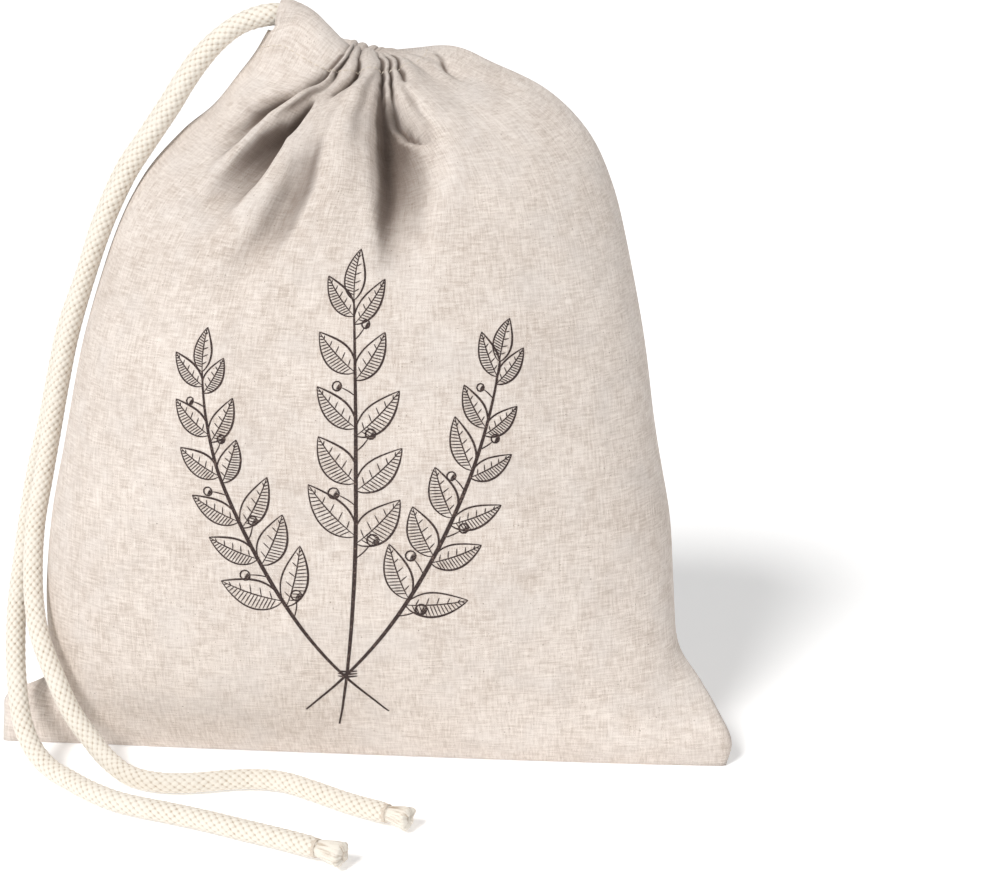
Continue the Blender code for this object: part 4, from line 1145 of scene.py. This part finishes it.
def add_stitches(material):
    """The sewn line under the cord, which closes the hem on both panels."""
    curve = new_wire("hem_stitches", STITCH_DIAMETER)
    for is_back in (False, True):
        rings = np.array([panel_points(row, STITCH_COLUMNS, is_back) for row in STITCH_ROWS])
        ring = rings[1]
        normal = outward(rings, is_back)[1]
        run = lengths(ring)
        for start in np.arange(STITCH_PITCH, run[-1] - STITCH_PITCH, STITCH_PITCH):
            add_run(curve, [
                [
                    np.interp(start + part * STITCH_LENGTH, run, ring[:, k] + normal[:, k] * height)
                    for k in range(3)
                ]
                for part, height in STITCH_ARCH
            ])
    return link(bpy.data.objects.new("hem_stitches", curve), material)


# --- the print ---


def heading(degrees):
    """The direction of an angle in the plane of the cloth."""
    return np.array((math.cos(math.radians(degrees)), math.sin(math.radians(degrees))))


def bent_line(start, degrees, bend, length, count):
    """Points along a line that starts at an angle and bends evenly, with its angles."""
    parts = np.linspace(0, 1, count)
    angles = degrees + bend * parts
    steps = np.array([heading(angle) for angle in angles[:-1]]) * length / (count - 1)
    return np.vstack([start, start + np.cumsum(steps, axis=0)]), angles


def leaf_strokes(foot, degrees, length, width, side):
    """The inked lines of one leaf: its two edges, its rib, the shading on one half and veins."""
    rib, angles = bent_line(foot, degrees, side * LEAF_BEND, length, LEAF_POINTS)
    parts = np.linspace(0, 1, LEAF_POINTS)
    half = width / 2 * np.sin(math.pi * parts ** 0.8) ** 0.9
    out = np.array([heading(angle + 90) for angle in angles]) * half[:, None]
    strokes = [(rib + out, LEAF_LINE), (rib - out, LEAF_LINE * 1.3), (rib, RIB_LINE)]
    for k in range(2, LEAF_POINTS - 2):
        shaded = rib[k + 1] + side * out[k + 1] * HATCH_REACH
        strokes.append((np.linspace(rib[k], shaded, HATCH_POINTS), HATCH_LINE))
        if k % VEIN_EVERY == 0:
            bare = rib[k + 1] - side * out[k + 1] * VEIN_REACH
            strokes.append((np.linspace(rib[k], bare, HATCH_POINTS), HATCH_LINE))
    return strokes


def berry_strokes(foot, degrees, size):
    """A berry on its stalk, round and shaded on one side."""
    stalk, angles = bent_line(foot, degrees, BERRY_BEND, size * BERRY_STALK, 5)
    middle = stalk[-1] + heading(angles[-1]) * size / 2

    def arc(share, start, end, count):
        return np.array([
            middle + heading(turn) * size / 2 * share for turn in np.linspace(start, end, count)
        ])

    shading = [(arc(share, *BERRY_SHADE_ARC, 9), HATCH_LINE) for share in BERRY_SHADES]
    return [(stalk, RIB_LINE), (arc(1, 0, 360, 17), LEAF_LINE)] + shading


def sprig_strokes(sprig, spread):
    """The inked lines of a leafy sprig with berries, which shrink and close up to its tip."""
    foot = np.array((sprig.foot_x, sprig.foot_y))
    stem, angles = bent_line(foot, sprig.heading, sprig.bend, sprig.length, STEM_POINTS)
    strokes = [(stem, STEM_LINE)]
    shares = np.linspace(sprig.first_leaf, LAST_LEAF, sprig.pairs)
    half_pair = int((shares[1] - shares[0]) * STEM_POINTS / 2)
    for number, share in enumerate(shares):
        at = int(share * (STEM_POINTS - 1))
        small, upright = (np.interp(share, (0, 1), ends) for ends in (LEAF_SIZES, LEAF_LEANS))
        for side in (1, -1):
            lean = upright + spread.uniform(-LEAN_SPREAD, LEAN_SPREAD)
            length = sprig.leaf_length * small * spread.uniform(*LENGTH_SPREAD)
            width = sprig.leaf_width * small * spread.uniform(*WIDTH_SPREAD)
            start = stem[at if side > 0 else at - 1]
            strokes += leaf_strokes(start, angles[at] + side * lean, length, width, side)
        between = at - half_pair
        lean = BERRY_LEAN if number % 2 else -BERRY_LEAN
        size = sprig.leaf_width * BERRY_SIZE * small
        strokes += berry_strokes(stem[between], angles[between] + lean, size)
    length, width = sprig.leaf_length * TIP_LEAF, sprig.leaf_width * TIP_LEAF
    return strokes + leaf_strokes(stem[-1], angles[-1], length, width, 1)


def tie_strokes():
    """The band that ties the stems together."""
    band = np.array([(TIE_X - TIE_HALF, TIE_Y), (TIE_X, TIE_Y - TIE_SAG), (TIE_X + TIE_HALF, TIE_Y)])
    return [(band + (0, rise), TIE_LINE) for rise in (-TIE_PITCH, 0.0, TIE_PITCH)]


def add_print(front, across, climb, material):
    """The printed bunch of leafy sprigs: inked lines that lie on the front panel."""
    spread = np.random.default_rng(SPREAD_SEED)
    strokes = tie_strokes()
    for sprig in SPRIGS:
        strokes += sprig_strokes(sprig, spread)
    field = np.concatenate([front, outward(front, False)], axis=2)
    numbers = np.arange(COLUMNS + 1)

    def on_cloth(place):
        """The point on the cloth at a place of the design, in millimetres, just proud of it."""
        x, y = place * MM
        row = min(np.interp(y, climb, np.arange(len(climb))), len(climb) - 1 - JUST_INSIDE)
        low = int(row)
        sides = []
        for r in (low, low + 1):
            column = min(np.interp(x, across[r], numbers), COLUMNS - JUST_INSIDE)
            left = int(column)
            sides.append(field[r][left] * (left + 1 - column) + field[r][left + 1] * (column - left))
        value = sides[0] * (low + 1 - row) + sides[1] * (row - low)
        return value[:3] + value[3:] * INK_HEIGHT

    vertices = []
    faces = []
    for line, width in strokes:
        count = max(4, int(lengths(line)[-1] / INK_STEP) + 2)
        flat = np.column_stack([line, np.zeros(len(line))])
        line = along(flat, np.linspace(0, 1, count))[:, :2]
        ahead = unit(np.gradient(line, axis=0))
        whole = np.sin(math.pi * np.linspace(*INK_ENDS, count)) ** 0.7
        taper = INK_TAPER + (1 - INK_TAPER) * whole
        aside = np.stack([-ahead[:, 1], ahead[:, 0]], axis=1) * (width / 2 * taper)[:, None]
        start = len(vertices)
        for left, right in zip(line + aside, line - aside):
            vertices += [on_cloth(left), on_cloth(right)]
        faces += [
            (start + 2 * k + 1, start + 2 * k + 3, start + 2 * k + 2, start + 2 * k)
            for k in range(count - 1)
        ]
    return mesh_piece("print_sprigs", vertices, faces, material)


def main():
    cotton = cotton_material()
    add_camera()
    for side, route, shape in (("front", FRONT_TAIL, FRONT_TUFT), ("rear", REAR_TAIL, REAR_TUFT)):
        cord, line = add_cord(f"drawstring_{side}", route, cotton)
        tuft = add_tuft(f"drawstring_{side}_tuft", line, shape, cotton)
        whipping = add_whipping(f"drawstring_{side}_whipping", line, thread_material())
        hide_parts(f"cord_{side}_tail")
        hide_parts(f"cord_{side}_tuft")
    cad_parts["cord_loop"].data.materials.clear()
    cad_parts["cord_loop"].data.materials.append(cotton)
    front, across, climb = add_bag(linen_material())
    add_stitches(thread_material())
    add_print(front, across, climb, ink_material())
    add_studio()


main()
